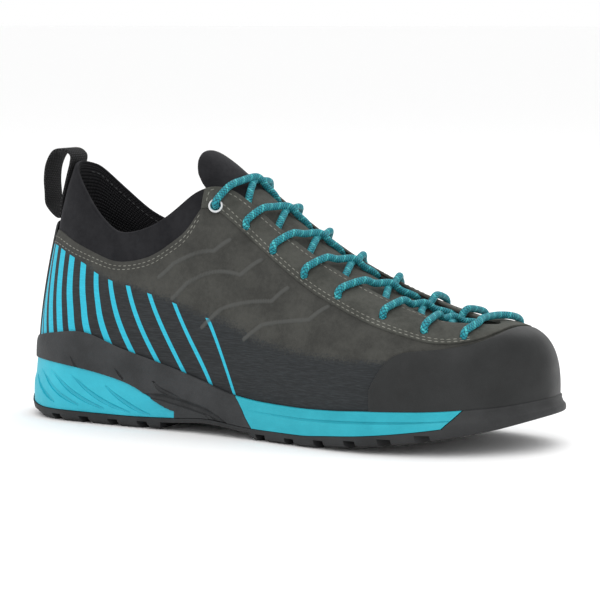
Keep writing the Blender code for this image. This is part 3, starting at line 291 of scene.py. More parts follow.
@dataclass
class Last:
    """The form that the whole shoe is built on, from the same sizes as its solids."""

    length: float = 0.298
    ball_width: float = 0.106
    seat_height: float = 0.027
    collar_height: float = 0.106
    margin: float = 0.0042
    gap: float = 0.0003
    foot_blend: float = 0.12
    softening: int = 5
    softening_reach: int = 12
    tracks: dict[str, np.ndarray] = field(default_factory=dict)

    def __post_init__(self) -> None:
        """Soften every column that goes round the last, once."""
        self.degrees = np.arange(0.0, 360.5, 0.5)
        for rows in (OUTLINE, RIBS):
            kind = type(rows[0]).__name__.lower()
            for name in rows[0]._fields[1:]:
                self.tracks[f"{kind} {name}"] = self.round_track(rows, name)

    def round_track(self, rows: Sequence[NamedTuple], name: str) -> np.ndarray:
        """A column read every half degree all the way round.

        Args:
            rows: the table.
            name: its column.

        Returns:
            Softened values, the last equal to the first.
        """
        keys = [row.turn for row in rows]
        values = [getattr(row, name) for row in rows]
        keys = [key - 360 for key in keys[-3:]] + keys + [key + 360 for key in keys[:3]]
        values = values[-3:] + values + values[:3]
        dense = through_rows(keys, values, self.degrees[:-1])
        reach = self.softening_reach
        kernel = np.exp(-0.5 * (np.arange(-reach, reach + 1) / self.softening) ** 2)
        wrapped = np.concatenate((dense[-reach:], dense, dense[:reach]))
        soft = np.convolve(wrapped, kernel / kernel.sum(), mode="valid")
        return np.append(soft, soft[0])

    def read(self, name: str, turn: float | np.ndarray) -> np.ndarray:
        """Value of a softened column at a turn."""
        return np.interp(np.asarray(turn, float) % 360, self.degrees, self.tracks[name])

    def rib(self, name: str, turn: float | np.ndarray) -> np.ndarray:
        """Value of a rib's column at a turn."""
        return self.read(f"rib {name}", turn)

    def level(self, name: str, x: np.ndarray) -> np.ndarray:
        """Height in a column of the sole's table at x.

        Args:
            name: the column.
            x: places along the shoe.

        Returns:
            The heights.
        """
        keys = [row.along for row in LEVELS]
        values = [getattr(row, name) for row in LEVELS]
        return self.seat_height * through_rows(keys, values, np.asarray(x) / self.length + 0.5)

    def along_x(self, share: float) -> float:
        """World x of a share of the length."""
        return (share - 0.5) * self.length

    def outline(self, turn: np.ndarray, inset: float | np.ndarray = 0.0) -> tuple[np.ndarray, ...]:
        """Spot on the sole's outline.

        Args:
            turn: where round the last.
            inset: how far it is pulled in.

        Returns:
            x and y, then the x and y of the direction that points out there.
        """
        turn = np.asarray(turn, float)

        def place(at: np.ndarray) -> tuple[np.ndarray, np.ndarray]:
            """Plain outline."""
            x = (self.read("outline along", at) - 0.5) * self.length
            return x, self.read("outline across", at) * self.ball_width

        x, y = place(turn)
        ahead, behind = place(turn + 1.0), place(turn - 1.0)
        run = np.hypot(ahead[0] - behind[0], ahead[1] - behind[1])
        out_x, out_y = (ahead[1] - behind[1]) / run, (behind[0] - ahead[0]) / run
        return x - out_x * inset, y - out_y * inset, out_x, out_y

    def seat(self, turn: np.ndarray) -> np.ndarray:
        """Height of the seat under the upper's wall."""
        return self.level("seat", self.outline(turn, self.margin)[0])

    def rim(self, turn: np.ndarray) -> np.ndarray:
        """Height of the sole's rim, which differs from the outer to the inner side.

        Args:
            turn: where round the last.

        Returns:
            The heights.
        """
        x, y, _, _ = self.outline(turn, self.margin)
        inner = np.clip(0.5 + 2.0 * y / self.ball_width, 0.0, 1.0)
        return self.level("rim_outer", x) * (1 - inner) + self.level("rim_inner", x) * inner

    def skin(self, turn: np.ndarray, share: np.ndarray) -> np.ndarray:
        """Point of the upper's plain outer skin.

        Args:
            turn: where round the last.
            share: how far up the rib.

        Returns:
            The points.
        """
        turn, share = np.broadcast_arrays(np.asarray(turn, float), np.asarray(share, float))
        x, y, out_x, out_y = self.outline(turn, self.margin)
        out = points(out_x, out_y, 0.0)
        foot = points(x, y, self.seat(turn) + self.gap)
        edge_x = (self.rib("along", turn) - 0.5) * self.length
        edge_y = self.rib("across", turn) * self.ball_width
        edge = points(edge_x, edge_y, self.seat_height + self.rib("height", turn) * self.collar_height)
        names = ("belly", "rise", "reach", "drop")
        pull = {name: (self.rib(name, turn) * self.collar_height)[..., None] for name in names}
        low = foot + out * pull["belly"] + UP * pull["rise"]
        high = edge + out * pull["reach"] - UP * pull["drop"]
        part = share[..., None]
        rest = 1 - part
        return rest**3 * foot + 3 * rest**2 * part * low + 3 * rest * part**2 * high + part**3 * edge

    def normal(self, turn: np.ndarray, share: np.ndarray) -> np.ndarray:
        """Direction out of the foot at a spot of the skin.

        Args:
            turn: where round the last.
            share: how far up the rib.

        Returns:
            The directions, of length 1.
        """
        along = self.skin(turn + 0.75, share) - self.skin(turn - 0.75, share)
        upward = self.skin(turn, share + 0.01) - self.skin(turn, share - 0.01)
        made = unit(np.cross(along, upward))
        _, _, out_x, out_y = self.outline(turn)
        blend = np.clip(share / self.foot_blend, 0.0, 1.0)[..., None]
        return unit(points(out_x, out_y, 0.0) * (1 - blend) + made * blend)

    def relief(self, turn: np.ndarray, share: np.ndarray) -> np.ndarray:
        """How far the soft creases sink the skin at a spot.

        Args:
            turn: where round the last.
            share: how far up the rib.

        Returns:
            The offset at each spot, in metres.
        """
        made = np.zeros(np.broadcast(turn, share).shape)
        wide = self.length / 180.0
        tall = self.collar_height
        for crease in CREASES:
            dx = (((turn - crease.turn + 180) % 360) - 180) * wide
            dz = (share - crease.share) * tall
            run = (crease.to_turn - crease.turn) * wide
            climb = (crease.to_share - crease.share) * tall
            part = np.clip((dx * run + dz * climb) / (run**2 + climb**2), 0.0, 1.0)
            far = np.hypot(dx - run * part, dz - climb * part)
            made -= crease.deep * np.exp(-((far / crease.wide) ** 2)) * np.sin(math.pi * (0.1 + 0.8 * part))
        return made

    def at(self, turn: np.ndarray, share: np.ndarray, offset: float | np.ndarray = 0.0) -> np.ndarray:
        """Point over the creased skin.

        Args:
            turn: where round the last.
            share: how far up the rib.
            offset: how far out of the foot.

        Returns:
            The points.
        """
        turn, share = np.broadcast_arrays(np.asarray(turn, float), np.asarray(share, float))
        lift = np.asarray(offset + self.relief(turn, share))
        return self.skin(turn, share) + self.normal(turn, share) * lift[..., None]

    def share_at_height(self, turn: np.ndarray, height: np.ndarray) -> np.ndarray:
        """Share of each rib at which the skin reaches this height.

        Args:
            turn: where round the last.
            height: the height looked for.

        Returns:
            One share for each turn.
        """
        turn = np.atleast_1d(np.asarray(turn, float))
        height = np.broadcast_to(height, turn.shape)
        shares = np.linspace(0.0, 0.9, 181)
        heights = self.skin(turn[:, None], shares[None, :])[..., 2]
        return np.array([np.interp(height[i], heights[i], shares) for i in range(len(turn))])

    def share_per_length(self, turn: float) -> float:
        """Share of the rib that a unit of length takes next to the throat's edge."""
        span = self.skin(np.float64(turn), np.float64(1.0)) - self.skin(np.float64(turn), np.float64(0.8))
        return 0.2 / float(np.linalg.norm(span))

    def eyelet_share(self, turn: float) -> float:
        """Share of the rib at which an eyelet's middle lies.

        Args:
            turn: the eyelet's turn.

        Returns:
            The share.
        """
        outer = min(float(turn), float(mirrored(turn)))
        inset = np.interp(outer, [eyelet.turn for eyelet in EYELETS], [eyelet.inset for eyelet in EYELETS])
        return 1.0 - float(inset) * self.share_per_length(turn)


def bent_grid(
    across: Sequence[float],
    along: Sequence[float],
    place: Place,
    wrap_across: bool = False,
    wrap_along: bool = False,
    capped: bool = False,
    marks: dict[str, Place] | None = None,
) -> bmesh.types.BMesh:
    """A grid whose points are moved onto a form.

    Args:
        across: values of the grid's columns.
        along: values of the grid's rows.
        place: gives the point for each pair of values.
        wrap_across: the last column meets the first.
        wrap_along: the last row meets the first.
        capped: the open ends are filled.
        marks: further UV maps, each a function of the same pair of values.

    Returns:
        The mesh, welded and facing out.
    """
    across, along = np.asarray(across, float), np.asarray(along, float)
    made = bmesh.new()
    bmesh.ops.create_grid(made, x_segments=len(across) - 1, y_segments=len(along) - 1, size=0.5)
    flat = np.array([vert.co for vert in made.verts])
    column = np.rint((flat[:, 0] + 0.5) * (len(across) - 1)).astype(int)
    row = np.rint((flat[:, 1] + 0.5) * (len(along) - 1)).astype(int)
    u, v = across[column], along[row]
    maps = {"UVMap": np.stack((u, v), axis=-1)}
    for name, mark in (marks or {}).items():
        maps[name] = mark(u, v)
    layers = {name: made.loops.layers.uv.new(name) for name in maps}
    made.verts.index_update()
    for face in made.faces:
        for loop in face.loops:
            for name, layer in layers.items():
                loop[layer].uv = maps[name][loop.vert.index]
    for vert, spot in zip(made.verts, place(u, v)):
        vert.co = spot
    if wrap_across or wrap_along:
        bmesh.ops.remove_doubles(made, verts=made.verts, dist=WELD)
    if capped:
        bmesh.ops.holes_fill(made, edges=[edge for edge in made.edges if edge.is_boundary])
    bmesh.ops.recalc_face_normals(made, faces=made.faces)
    return made


def wear_map(made: bmesh.types.BMesh, name: str) -> None:
    """Let a cloth's own UV map, which its finish reads, change places with the plain one.

    Args:
        made: the mesh.
        name: the cloth's map.
    """
    plain, cloth = made.loops.layers.uv["UVMap"], made.loops.layers.uv[name]
    for face in made.faces:
        for loop in face.loops:
            kept = loop[plain].uv.copy()
            loop[plain].uv = loop[cloth].uv
            loop[cloth].uv = kept


def put(
    name: str,
    mesh_data: bmesh.types.BMesh,
    dressings: Sequence[bpy.types.Material],
    stands_for: Sequence[str] = (),
    sharp: float = 40.0,
) -> bpy.types.Object:
    """Make a finished mesh a piece of the shoe.

    Args:
        name: the piece's name.
        mesh_data: its mesh, which is used up.
        dressings: its materials, in the order of its faces' material numbers.
        stands_for: the CAD nodes that it replaces.
        sharp: angle in degrees past which an edge looks sharp.

    Returns:
        The object, riding on the shoe's one body.
    """
    mesh = bpy.data.meshes.new(name)
    mesh_data.to_mesh(mesh)
    mesh_data.free()
    mesh.shade_smooth()
    mesh.set_sharp_from_angle(angle=math.radians(sharp))
    made = bpy.data.objects.new(name, mesh)
    for dressing in dressings:
        mesh.materials.append(dressing)
    bpy.context.scene.collection.objects.link(made)
    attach(made, BODY)
    if stands_for:
        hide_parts(*stands_for)
    logging.info("%s: %d faces", name, len(mesh.polygons))
    return made


def carve(
    target: bmesh.types.BMesh,
    steps: Iterable[tuple[str, bmesh.types.BMesh]],
    whole: bool = False,
) -> bmesh.types.BMesh:
    """Cut or keep parts of a closed mesh.

    Args:
        target: the mesh, which is used up.
        steps: DIFFERENCE or INTERSECT, each with its closed tool, which is used up.
        whole: the tools lie in themselves, as crossing blocks do.

    Returns:
        The carved mesh, without the slivers and twin faces that cutting leaves.
    """
    scene = bpy.context.scene.collection.objects

    def plain(mesh_data: bmesh.types.BMesh) -> bpy.types.Object:
        """A bare object for the modifier.

        Args:
            mesh_data: its mesh, which is used up.

        Returns:
            The object, linked to the scene.
        """
        mesh = bpy.data.meshes.new("carving")
        mesh_data.to_mesh(mesh)
        mesh_data.free()
        made = bpy.data.objects.new("carving", mesh)
        scene.link(made)
        return made

    body = plain(target)
    used = [body]
    for operation, tool in steps:
        used.append(plain(tool))
        modifier = body.modifiers.new(operation, "BOOLEAN")
        modifier.operation = operation
        modifier.solver = "EXACT"
        modifier.use_self = whole
        modifier.object = used[-1]
    bpy.context.view_layer.update()
    result = body.evaluated_get(bpy.context.evaluated_depsgraph_get()).to_mesh()
    made = bmesh.new()
    made.from_mesh(result)
    bmesh.ops.dissolve_degenerate(made, edges=made.edges, dist=CUT_SLIVER)
    bmesh.ops.triangulate(made, faces=[face for face in made.faces if len(face.verts) > 4])
    faces_on: dict[frozenset[bmesh.types.BMVert], list[bmesh.types.BMFace]] = {}
    for face in made.faces:
        faces_on.setdefault(frozenset(face.verts), []).append(face)
    fins = [face for faces in faces_on.values() if len(faces) > 1 for face in faces]
    bmesh.ops.delete(made, geom=fins, context="FACES")
    body.to_mesh_clear()
    for each in used:
        data = each.data
        bpy.data.objects.remove(each)
        bpy.data.meshes.remove(data)
    return made


def tube(path: np.ndarray, radius: float | np.ndarray, sides: int, capped: bool = True) -> bmesh.types.BMesh:
    """A round tube along a path, whose UV map goes once round it and then along it in metres.

    Args:
        path: points along the middle.
        radius: the tube's radius, or one for each point.
        sides: how many sides it has.
        capped: the ends are closed.

    Returns:
        The mesh.
    """
    path = np.asarray(path, float)
    heading = unit(np.gradient(path, axis=0))
    side = unit(np.cross(heading[0], UP))
    sides_at = []
    for ahead in heading:
        side = unit(side - ahead * np.dot(side, ahead))
        sides_at.append(side)
    side_at = np.array(sides_at)
    over_at = np.cross(heading, side_at)
    run = np.concatenate(([0.0], np.cumsum(np.linalg.norm(np.diff(path, axis=0), axis=1))))
    radii = np.broadcast_to(radius, run.shape)

    def place(around: np.ndarray, far: np.ndarray) -> np.ndarray:
        """Point on the tube.

        Args:
            around: shares of the way round the tube.
            far: distances along it.

        Returns:
            The points.
        """
        spot = np.searchsorted(run, far - 1e-9).clip(0, len(run) - 1)
        angle = around * math.tau
        ring = np.cos(angle)[:, None] * side_at[spot] + np.sin(angle)[:, None] * over_at[spot]
        return path[spot] + ring * radii[spot][:, None]

    return bent_grid(np.linspace(0.0, 1.0, sides + 1), run, place, wrap_across=True, capped=capped)


def smooth_path(route: Sequence[Sequence[float]], steps: int) -> np.ndarray:
    """Curve through given points, evenly divided between each pair.

    Args:
        route: the given points.
        steps: points from each one to the next.

    Returns:
        The curve's points.
    """
    route = np.asarray(route, float)
    padded = np.vstack((2 * route[0] - route[1], route, 2 * route[-1] - route[-2]))
    made = []
    for a, b, c, d in zip(padded, padded[1:], padded[2:], padded[3:]):
        for part in np.arange(steps) / steps:
            bend = 2 * a - 5 * b + 4 * c - d
            twist = 3 * b - a - 3 * c + d
            made.append(0.5 * (2 * b + (c - a) * part + bend * part**2 + twist * part**3))
    made.append(route[-1])
    return np.array(made)


def rounded_rows(count: int, corner: float, thick: int = 3) -> list[tuple[float, float]]:
    """Section of a flat strip with rounded borders, as shares of its width and of its thickness.

    Args:
        count: places across the flat middle.
        corner: share of the width that each border takes.
        thick: places along the under side.

    Returns:
        Pairs of a share across and a share through, closed.
    """
    top = [(0.0, 0.35), (corner * 0.15, 0.75), (corner * 0.5, 0.95)]
    middle = [(share, 1.0) for share in np.linspace(corner, 1.0 - corner, count)]
    far = [(1.0 - share, lift) for share, lift in reversed(top)]
    under = [(share, 0.0) for share in np.linspace(1.0, 0.0, thick)]
    return top + middle + far + under + [top[0]]


class Look(Enum):
    """Ways that a surface is patterned."""

    NAP = "nap"
    MOULDED = "moulded"
    WEAVE = "weave"
    BRAID = "braid"


class Wiring:
    """Places and wires the nodes of one tree."""

    def __init__(self, tree: bpy.types.NodeTree) -> None:
        """Work on this tree."""
        self.tree = tree

    def node(
        self,
        kind: str,
        sockets: dict[str | int, object] | None = None,
        **settings: object,
    ) -> bpy.types.Node:
        """Place a node.

        Args:
            kind: the node's type, without its ShaderNode.
            sockets: inputs by name or number, each a value or another node's output.
            settings: the node's own settings.

        Returns:
            The node.
        """
        made = self.tree.nodes.new("ShaderNode" + kind if not kind.startswith("Node") else kind)
        for name, value in settings.items():
            setattr(made, name, value)
        for name, value in (sockets or {}).items():
            self.feed(made.inputs[name], value)
        return made

    def feed(self, socket: bpy.types.NodeSocket, value: object) -> None:
        """Give a socket a value, or wire another node's output to it.

        Args:
            socket: the input.
            value: a number, a colour or an output.
        """
        if isinstance(value, bpy.types.NodeSocket):
            self.tree.links.new(value, socket)
        elif isinstance(value, tuple) and len(value) == 3 and socket.type == "RGBA":
            socket.default_value = (*value, 1.0)
        else:
            socket.default_value = value

    def maths(self, operation: str, *values: object, clamp: bool = False) -> bpy.types.NodeSocket:
        """One step of arithmetic, as its output."""
        made = self.node("Math", dict(enumerate(values)), operation=operation, use_clamp=clamp)
        return made.outputs[0]

    def blend(self, mask: object, plain: object, other: object) -> bpy.types.NodeSocket:
        """Mix two colours by a mask."""
        made = self.node("Mix", {0: mask, 6: plain, 7: other}, data_type="RGBA")
        return made.outputs[2]

    def noise(
        self,
        vector: object,
        scale: float,
        detail: float = 3.0,
        rough: float = 0.55,
    ) -> bpy.types.NodeSocket:
        """Noise from 0 to 1 at so many bumps a metre."""
        sockets = {"Vector": vector, "Scale": scale, "Detail": detail, "Roughness": rough}
        return self.node("TexNoise", sockets).outputs[0]

    def ramp(self, value: object, low: float, high: float) -> bpy.types.NodeSocket:
        """Smooth rise from 0 at low to 1 at high."""
        sockets = {"Value": value, "From Min": low, "From Max": high}
        return self.node("MapRange", sockets, interpolation_type="SMOOTHSTEP").outputs[0]

    def stretched(self, vector: object, scale: tuple[float, float, float]) -> bpy.types.NodeSocket:
        """A vector with each of its parts scaled."""
        return self.node("Mapping", {"Vector": vector, "Scale": scale}).outputs[0]


def effect(
    name: str,
    inputs: dict[str, tuple[str, object]],
    outputs: Sequence[str],
) -> tuple[Wiring, bpy.types.Node, bpy.types.Node]:
    """Begin a shader node group.

    Args:
        name: the group's name.
        inputs: each input's socket type and first value.
        outputs: names of the outputs, all plain numbers.

    Returns:
        Its wiring, its input node and its output node.
    """
    tree = bpy.data.node_groups.new(name, "ShaderNodeTree")
    for label, (kind, value) in inputs.items():
        made = tree.interface.new_socket(label, in_out="INPUT", socket_type=kind)
        if value is not None:
            made.default_value = value
    for label in outputs:
        tree.interface.new_socket(label, in_out="OUTPUT", socket_type="NodeSocketFloat")
    wiring = Wiring(tree)
    return wiring, wiring.node("NodeGroupInput"), wiring.node("NodeGroupOutput")


@dataclass
class Effects:
    """The node groups that several materials share, each built once."""

    made: dict[Look, bpy.types.NodeTree] = field(default_factory=dict)

    def __post_init__(self) -> None:
        """Build all of them."""
        self.made = {
            Look.NAP: self.nap(),
            Look.MOULDED: self.moulded(),
            Look.WEAVE: self.weave(),
            Look.BRAID: self.braid(),
        }

    def nap(self) -> bpy.types.NodeTree:
        """Suede: brushed patches, fine fibres and pores.

        Returns:
            The node group.
        """
        inputs = {"Vector": ("NodeSocketVector", None), "Size": ("NodeSocketFloat", 0.0006)}
        wiring, source, sink = effect("suede nap", inputs, ("Shade", "Height"))
        at = source.outputs["Vector"]
        patches = wiring.noise(at, 70.0, 3.0, 0.5)
        mottle = wiring.noise(at, 420.0, 2.0, 0.6)
        per_metre = wiring.maths("DIVIDE", 1.0, source.outputs["Size"])
        fibre = wiring.node("TexNoise", {"Vector": at, "Scale": per_metre, "Detail": 3.0, "Roughness": 0.75})
        shade = wiring.maths("MULTIPLY_ADD", patches, 0.55, wiring.maths("MULTIPLY", mottle, 0.30))
        shade = wiring.maths("MULTIPLY_ADD", fibre.outputs[0], 0.25, shade)
        wiring.feed(sink.inputs["Shade"], wiring.ramp(shade, 0.35, 0.75))
        wiring.feed(sink.inputs["Height"], wiring.maths("MULTIPLY_ADD", mottle, 0.5, fibre.outputs[0]))
        return wiring.tree

    def moulded(self) -> bpy.types.NodeTree:
        """Moulded rubber or foam: fine spark grain and a little dust.

        Returns:
            The node group.
        """
        inputs = {"Vector": ("NodeSocketVector", None), "Size": ("NodeSocketFloat", 0.0004)}
        wiring, source, sink = effect("moulded grain", inputs, ("Shade", "Height"))
        at = source.outputs["Vector"]
        dust = wiring.noise(at, 55.0, 4.0, 0.6)
        per_metre = wiring.maths("DIVIDE", 1.0, source.outputs["Size"])
        spark = wiring.node("TexVoronoi", {"Vector": at, "Scale": per_metre}, feature="SMOOTH_F1")
        fine = wiring.noise(at, 2600.0, 1.0)
        dusty = wiring.maths("MULTIPLY_ADD", fine, 0.3, dust)
        wiring.feed(sink.inputs["Shade"], wiring.ramp(dusty, 0.35, 0.95))
        wiring.feed(sink.inputs["Height"], wiring.maths("MULTIPLY_ADD", fine, 0.5, spark.outputs[0]))
        return wiring.tree

    def weave(self) -> bpy.types.NodeTree:
        """Knit or mesh cloth: rows of small loops, from a UV map in metres, with painted shade in the hollows
        between the loops.

        Returns:
            The node group.
        """
        inputs = {
            "Vector": ("NodeSocketVector", None),
            "Wide": ("NodeSocketFloat", 0.0012),
            "Tall": ("NodeSocketFloat", 0.0009),
        }
        wiring, source, sink = effect("woven loops", inputs, ("Shade", "Height"))
        split = wiring.node("SeparateXYZ", {0: source.outputs["Vector"]})
        down = wiring.maths("DIVIDE", split.outputs[1], source.outputs["Tall"])
        row = wiring.maths("FLOOR", down)
        shift = wiring.maths("MULTIPLY", wiring.maths("MODULO", row, 2.0), 0.5)
        across = wiring.maths("ADD", wiring.maths("DIVIDE", split.outputs[0], source.outputs["Wide"]), shift)
        bump_u = wiring.maths("SINE", wiring.maths("MULTIPLY", wiring.maths("FRACT", across), math.pi))
        bump_v = wiring.maths("SINE", wiring.maths("MULTIPLY", wiring.maths("FRACT", down), math.pi))
        height = wiring.maths("MULTIPLY", bump_u, bump_v)
        wiring.feed(sink.inputs["Height"], height)
        # Painted shade: the tone follows the loops' height, so the hollows between loops are painted darker.
        wiring.feed(sink.inputs["Shade"], wiring.ramp(height, 0.1, 0.8))
        return wiring.tree

    def braid(self) -> bpy.types.NodeTree:
        """Round braid: strands that wind both ways, from a UV map of once round and metres along, with
        painted shade in the grooves between strands.

        Returns:
            The node group.
        """
        inputs = {"Vector": ("NodeSocketVector", None), "Pitch": ("NodeSocketFloat", 0.0055)}
        wiring, source, sink = effect("braided strands", inputs, ("Shade", "Height", "Fleck"))
        split = wiring.node("SeparateXYZ", {0: source.outputs["Vector"]})
        round_it = wiring.maths("MULTIPLY", split.outputs[0], 4.0)
        down = wiring.maths("DIVIDE", split.outputs[1], source.outputs["Pitch"])
        down = wiring.maths("MULTIPLY", down, 4.0)
        one = wiring.maths("ADD", round_it, down)
        two = wiring.maths("SUBTRACT", round_it, down)
        ridge = []
        for each in (one, two):
            phase = wiring.maths("MULTIPLY", wiring.maths("FRACT", each), math.pi)
            ridge.append(wiring.maths("SINE", phase))
        cell = wiring.maths("ADD", wiring.maths("FLOOR", one), wiring.maths("FLOOR", two))
        over = wiring.maths("MODULO", wiring.maths("ADD", cell, 200.0), 2.0)
        first = wiring.maths("MULTIPLY", ridge[0], over)
        second = wiring.maths("MULTIPLY", ridge[1], wiring.maths("SUBTRACT", 1.0, over))
        height = wiring.maths("ADD", first, second)
        wiring.feed(sink.inputs["Height"], height)
        # Painted shade: the tone follows the strands' height, so the grooves between strands are painted
        # darker.
        wiring.feed(sink.inputs["Shade"], wiring.ramp(height, 0.15, 0.85))
        strand = wiring.maths("MODULO", wiring.maths("ADD", wiring.maths("FLOOR", one), 400.0), 4.0)
        wiring.feed(sink.inputs["Fleck"], wiring.maths("LESS_THAN", strand, 0.5))
        return wiring.tree


@dataclass(frozen=True)
class Finish:
    """How a kind of stuff looks: two tones, its pattern and its gloss; for the weave and braid looks the dark
    tone is painted shade in the hollows.
    """

    name: str
    dark: Colour
    light: Colour
    look: Look
    roughness: float = 0.8
    depth: float = 0.00015
    size: tuple[float, ...] = (0.0005,)
    sheen: float = 0.0
    sheen_colour: Colour = (0.5, 0.5, 0.5)
    fleck: Colour | None = None
    metallic: float = 0.0
    coat: float = 0.0
    specular: float = 0.5

    def build(self, effects: Effects) -> bpy.types.Material:
        """Make the material.

        Args:
            effects: the shared node groups.

        Returns:
            The material.
        """
        made, wiring, shader = self.begin()
        shade, height, group = self.pattern(wiring, effects)
        # For the weave and braid looks this blend paints shade, with the dark tone in the hollows; for the
        # nap and moulded looks it is the stuff's own patchy tone.
        colour = wiring.blend(shade, self.dark, self.light)
        if self.fleck:
            # The fleck strands are dimmed by the same painted shade in the grooves.
            bright = wiring.maths("MULTIPLY", group.outputs["Fleck"], shade)
            colour = wiring.blend(bright, colour, self.fleck)
        wiring.feed(shader.inputs["Base Color"], colour)
        rough = wiring.maths("MULTIPLY_ADD", shade, -0.12, self.roughness + 0.06, clamp=True)
        wiring.feed(shader.inputs["Roughness"], rough)
        self.bump(wiring, shader, height)
        return made

    def begin(self) -> tuple[bpy.types.Material, Wiring, bpy.types.Node]:
        """A new material, its wiring and its shader with the plain settings made.

        Returns:
            The three of them.
        """
        made = bpy.data.materials.new(self.name)
        made.use_nodes = True
        made.diffuse_color = (*self.light, 1.0)
        shader = made.node_tree.nodes["Principled BSDF"]
        shader.inputs["Metallic"].default_value = self.metallic
        shader.inputs["Sheen Weight"].default_value = self.sheen
        shader.inputs["Sheen Roughness"].default_value = 0.5
        shader.inputs["Sheen Tint"].default_value = (*self.sheen_colour, 1.0)
        shader.inputs["Coat Weight"].default_value = self.coat
        shader.inputs["Coat Roughness"].default_value = 0.35
        shader.inputs["Specular IOR Level"].default_value = self.specular
        return made, Wiring(made.node_tree), shader

    def pattern(
        self,
        wiring: Wiring,
        effects: Effects,
    ) -> tuple[bpy.types.NodeSocket, bpy.types.NodeSocket, bpy.types.Node]:
        """Place this finish's pattern and give its shade, its height and its node.

        Args:
            wiring: the material's nodes.
            effects: the pattern groups.

        Returns:
            The three of them.
        """
        on_surface = self.look in (Look.WEAVE, Look.BRAID)
        if on_surface:
            at = wiring.node("UVMap", uv_map="UVMap").outputs[0]
        else:
            at = wiring.node("TexCoord").outputs["Object"]
        group = wiring.node("Group", node_tree=effects.made[self.look])
        wiring.feed(group.inputs["Vector"], at)
        for socket, value in zip(list(group.inputs)[1:], self.size):
            socket.default_value = value
        return group.outputs["Shade"], group.outputs["Height"], group

    def bump(self, wiring: Wiring, shader: bpy.types.Node, height: bpy.types.NodeSocket) -> None:
        """Let a height shape the light on the surface."""
        made = wiring.node("Bump", {"Strength": 1.0, "Distance": self.depth, "Height": height})
        wiring.feed(shader.inputs["Normal"], made.outputs[0])


@dataclass(frozen=True)
class QuarterFinish(Finish):
    """Suede with a smooth film low down, printed bars at the heel and pressed lines on the side."""

    film: Colour = (0.020, 0.0225, 0.0245)
    bars: Colour = (0.024, 0.40, 0.54)
    line: Colour = (0.078, 0.080, 0.076)

    def build(self, effects: Effects) -> bpy.types.Material:
        """Make the material.

        Args:
            effects: the shared node groups.

        Returns:
            The material.
        """
        made, wiring, shader = self.begin()
        shade, height, _ = self.pattern(wiring, effects)
        suede = wiring.blend(shade, self.dark, self.light)
        at = wiring.node("TexCoord").outputs["Object"]
        printed = wiring.node("SeparateXYZ", {0: wiring.node("UVMap", uv_map="bars").outputs[0]})
        pressed = wiring.node("SeparateXYZ", {0: wiring.node("UVMap", uv_map="press").outputs[0]})
        scratch = wiring.noise(wiring.stretched(at, (0.12, 0.12, 1.6)), 1500.0, 2.0, 0.7)
        fleck = wiring.noise(at, 900.0, 2.0, 0.7)
        worn = wiring.maths("MULTIPLY_ADD", fleck, 0.10, wiring.maths("MULTIPLY", scratch, 0.06))
        film_at = wiring.node("SeparateXYZ", {0: wiring.node("UVMap", uv_map="film").outputs[0]})
        below = wiring.maths("SUBTRACT", wiring.maths("ADD", film_at.outputs[0], worn), 0.08)
        film = wiring.ramp(below, -0.02, 0.035)
        film_tones = [tuple(part * tone for part in self.film) for tone in (0.75, 1.45)]
        tone = wiring.blend(wiring.ramp(scratch, 0.35, 0.75), *film_tones)
        colour = wiring.blend(film, suede, tone)
        centred = wiring.maths("SUBTRACT", wiring.maths("FRACT", printed.outputs[0]), 0.5)
        off = wiring.maths("ABSOLUTE", centred)
        bar = wiring.ramp(wiring.maths("SUBTRACT", printed.outputs[1], off), -0.008, 0.008)
        top = wiring.ramp(film_at.outputs[0], 0.014, 0.018)
        foot = wiring.ramp(film_at.outputs[1], 0.012, 0.016)
        bar = wiring.maths("MULTIPLY", wiring.maths("MULTIPLY", bar, top), foot)
        ink = wiring.blend(wiring.ramp(scratch, 0.3, 0.8), self.bars, tuple(part * 1.2 for part in self.bars))
        colour = wiring.blend(bar, colour, ink)
        line = wiring.maths("SUBTRACT", 1.0, wiring.ramp(pressed.outputs[0], 0.5, 1.5))
        colour = wiring.blend(wiring.maths("MULTIPLY", line, 0.75), colour, self.line)
        wiring.feed(shader.inputs["Base Color"], colour)
        rough = wiring.maths("SUBTRACT", self.roughness, wiring.maths("MULTIPLY", film, 0.30))
        wiring.feed(shader.inputs["Roughness"], rough)
        kept = wiring.maths("SUBTRACT", 1.0, wiring.maths("MULTIPLY", film, 0.7))
        soft = wiring.maths("MULTIPLY", height, kept)
        soft = wiring.maths("MULTIPLY_ADD", wiring.maths("MULTIPLY", scratch, film), 0.5, soft)
        total = wiring.maths("MULTIPLY_ADD", line, 1.5, soft)
        self.bump(wiring, shader, total)
        return made


SUEDE = QuarterFinish(
    "quarter suede", (0.036, 0.036, 0.033), (0.062, 0.062, 0.056),
    Look.NAP, 0.94, 0.00014, (0.0006,), 0.08, (0.5, 0.5, 0.45), specular=0.2,
)
STAY_SUEDE = Finish(
    "eyestay suede", (0.043, 0.044, 0.039), (0.076, 0.077, 0.068),
    Look.NAP, 0.94, 0.00016, (0.0006,), 0.08, (0.5, 0.5, 0.45), specular=0.15,
)
COLLAR_KNIT = Finish(
    "collar stretch cloth", (0.006, 0.006, 0.0075), (0.013, 0.013, 0.015),
    Look.NAP, 0.88, 0.00006, (0.0004,), 0.05, (0.4, 0.4, 0.45), specular=0.22,
)
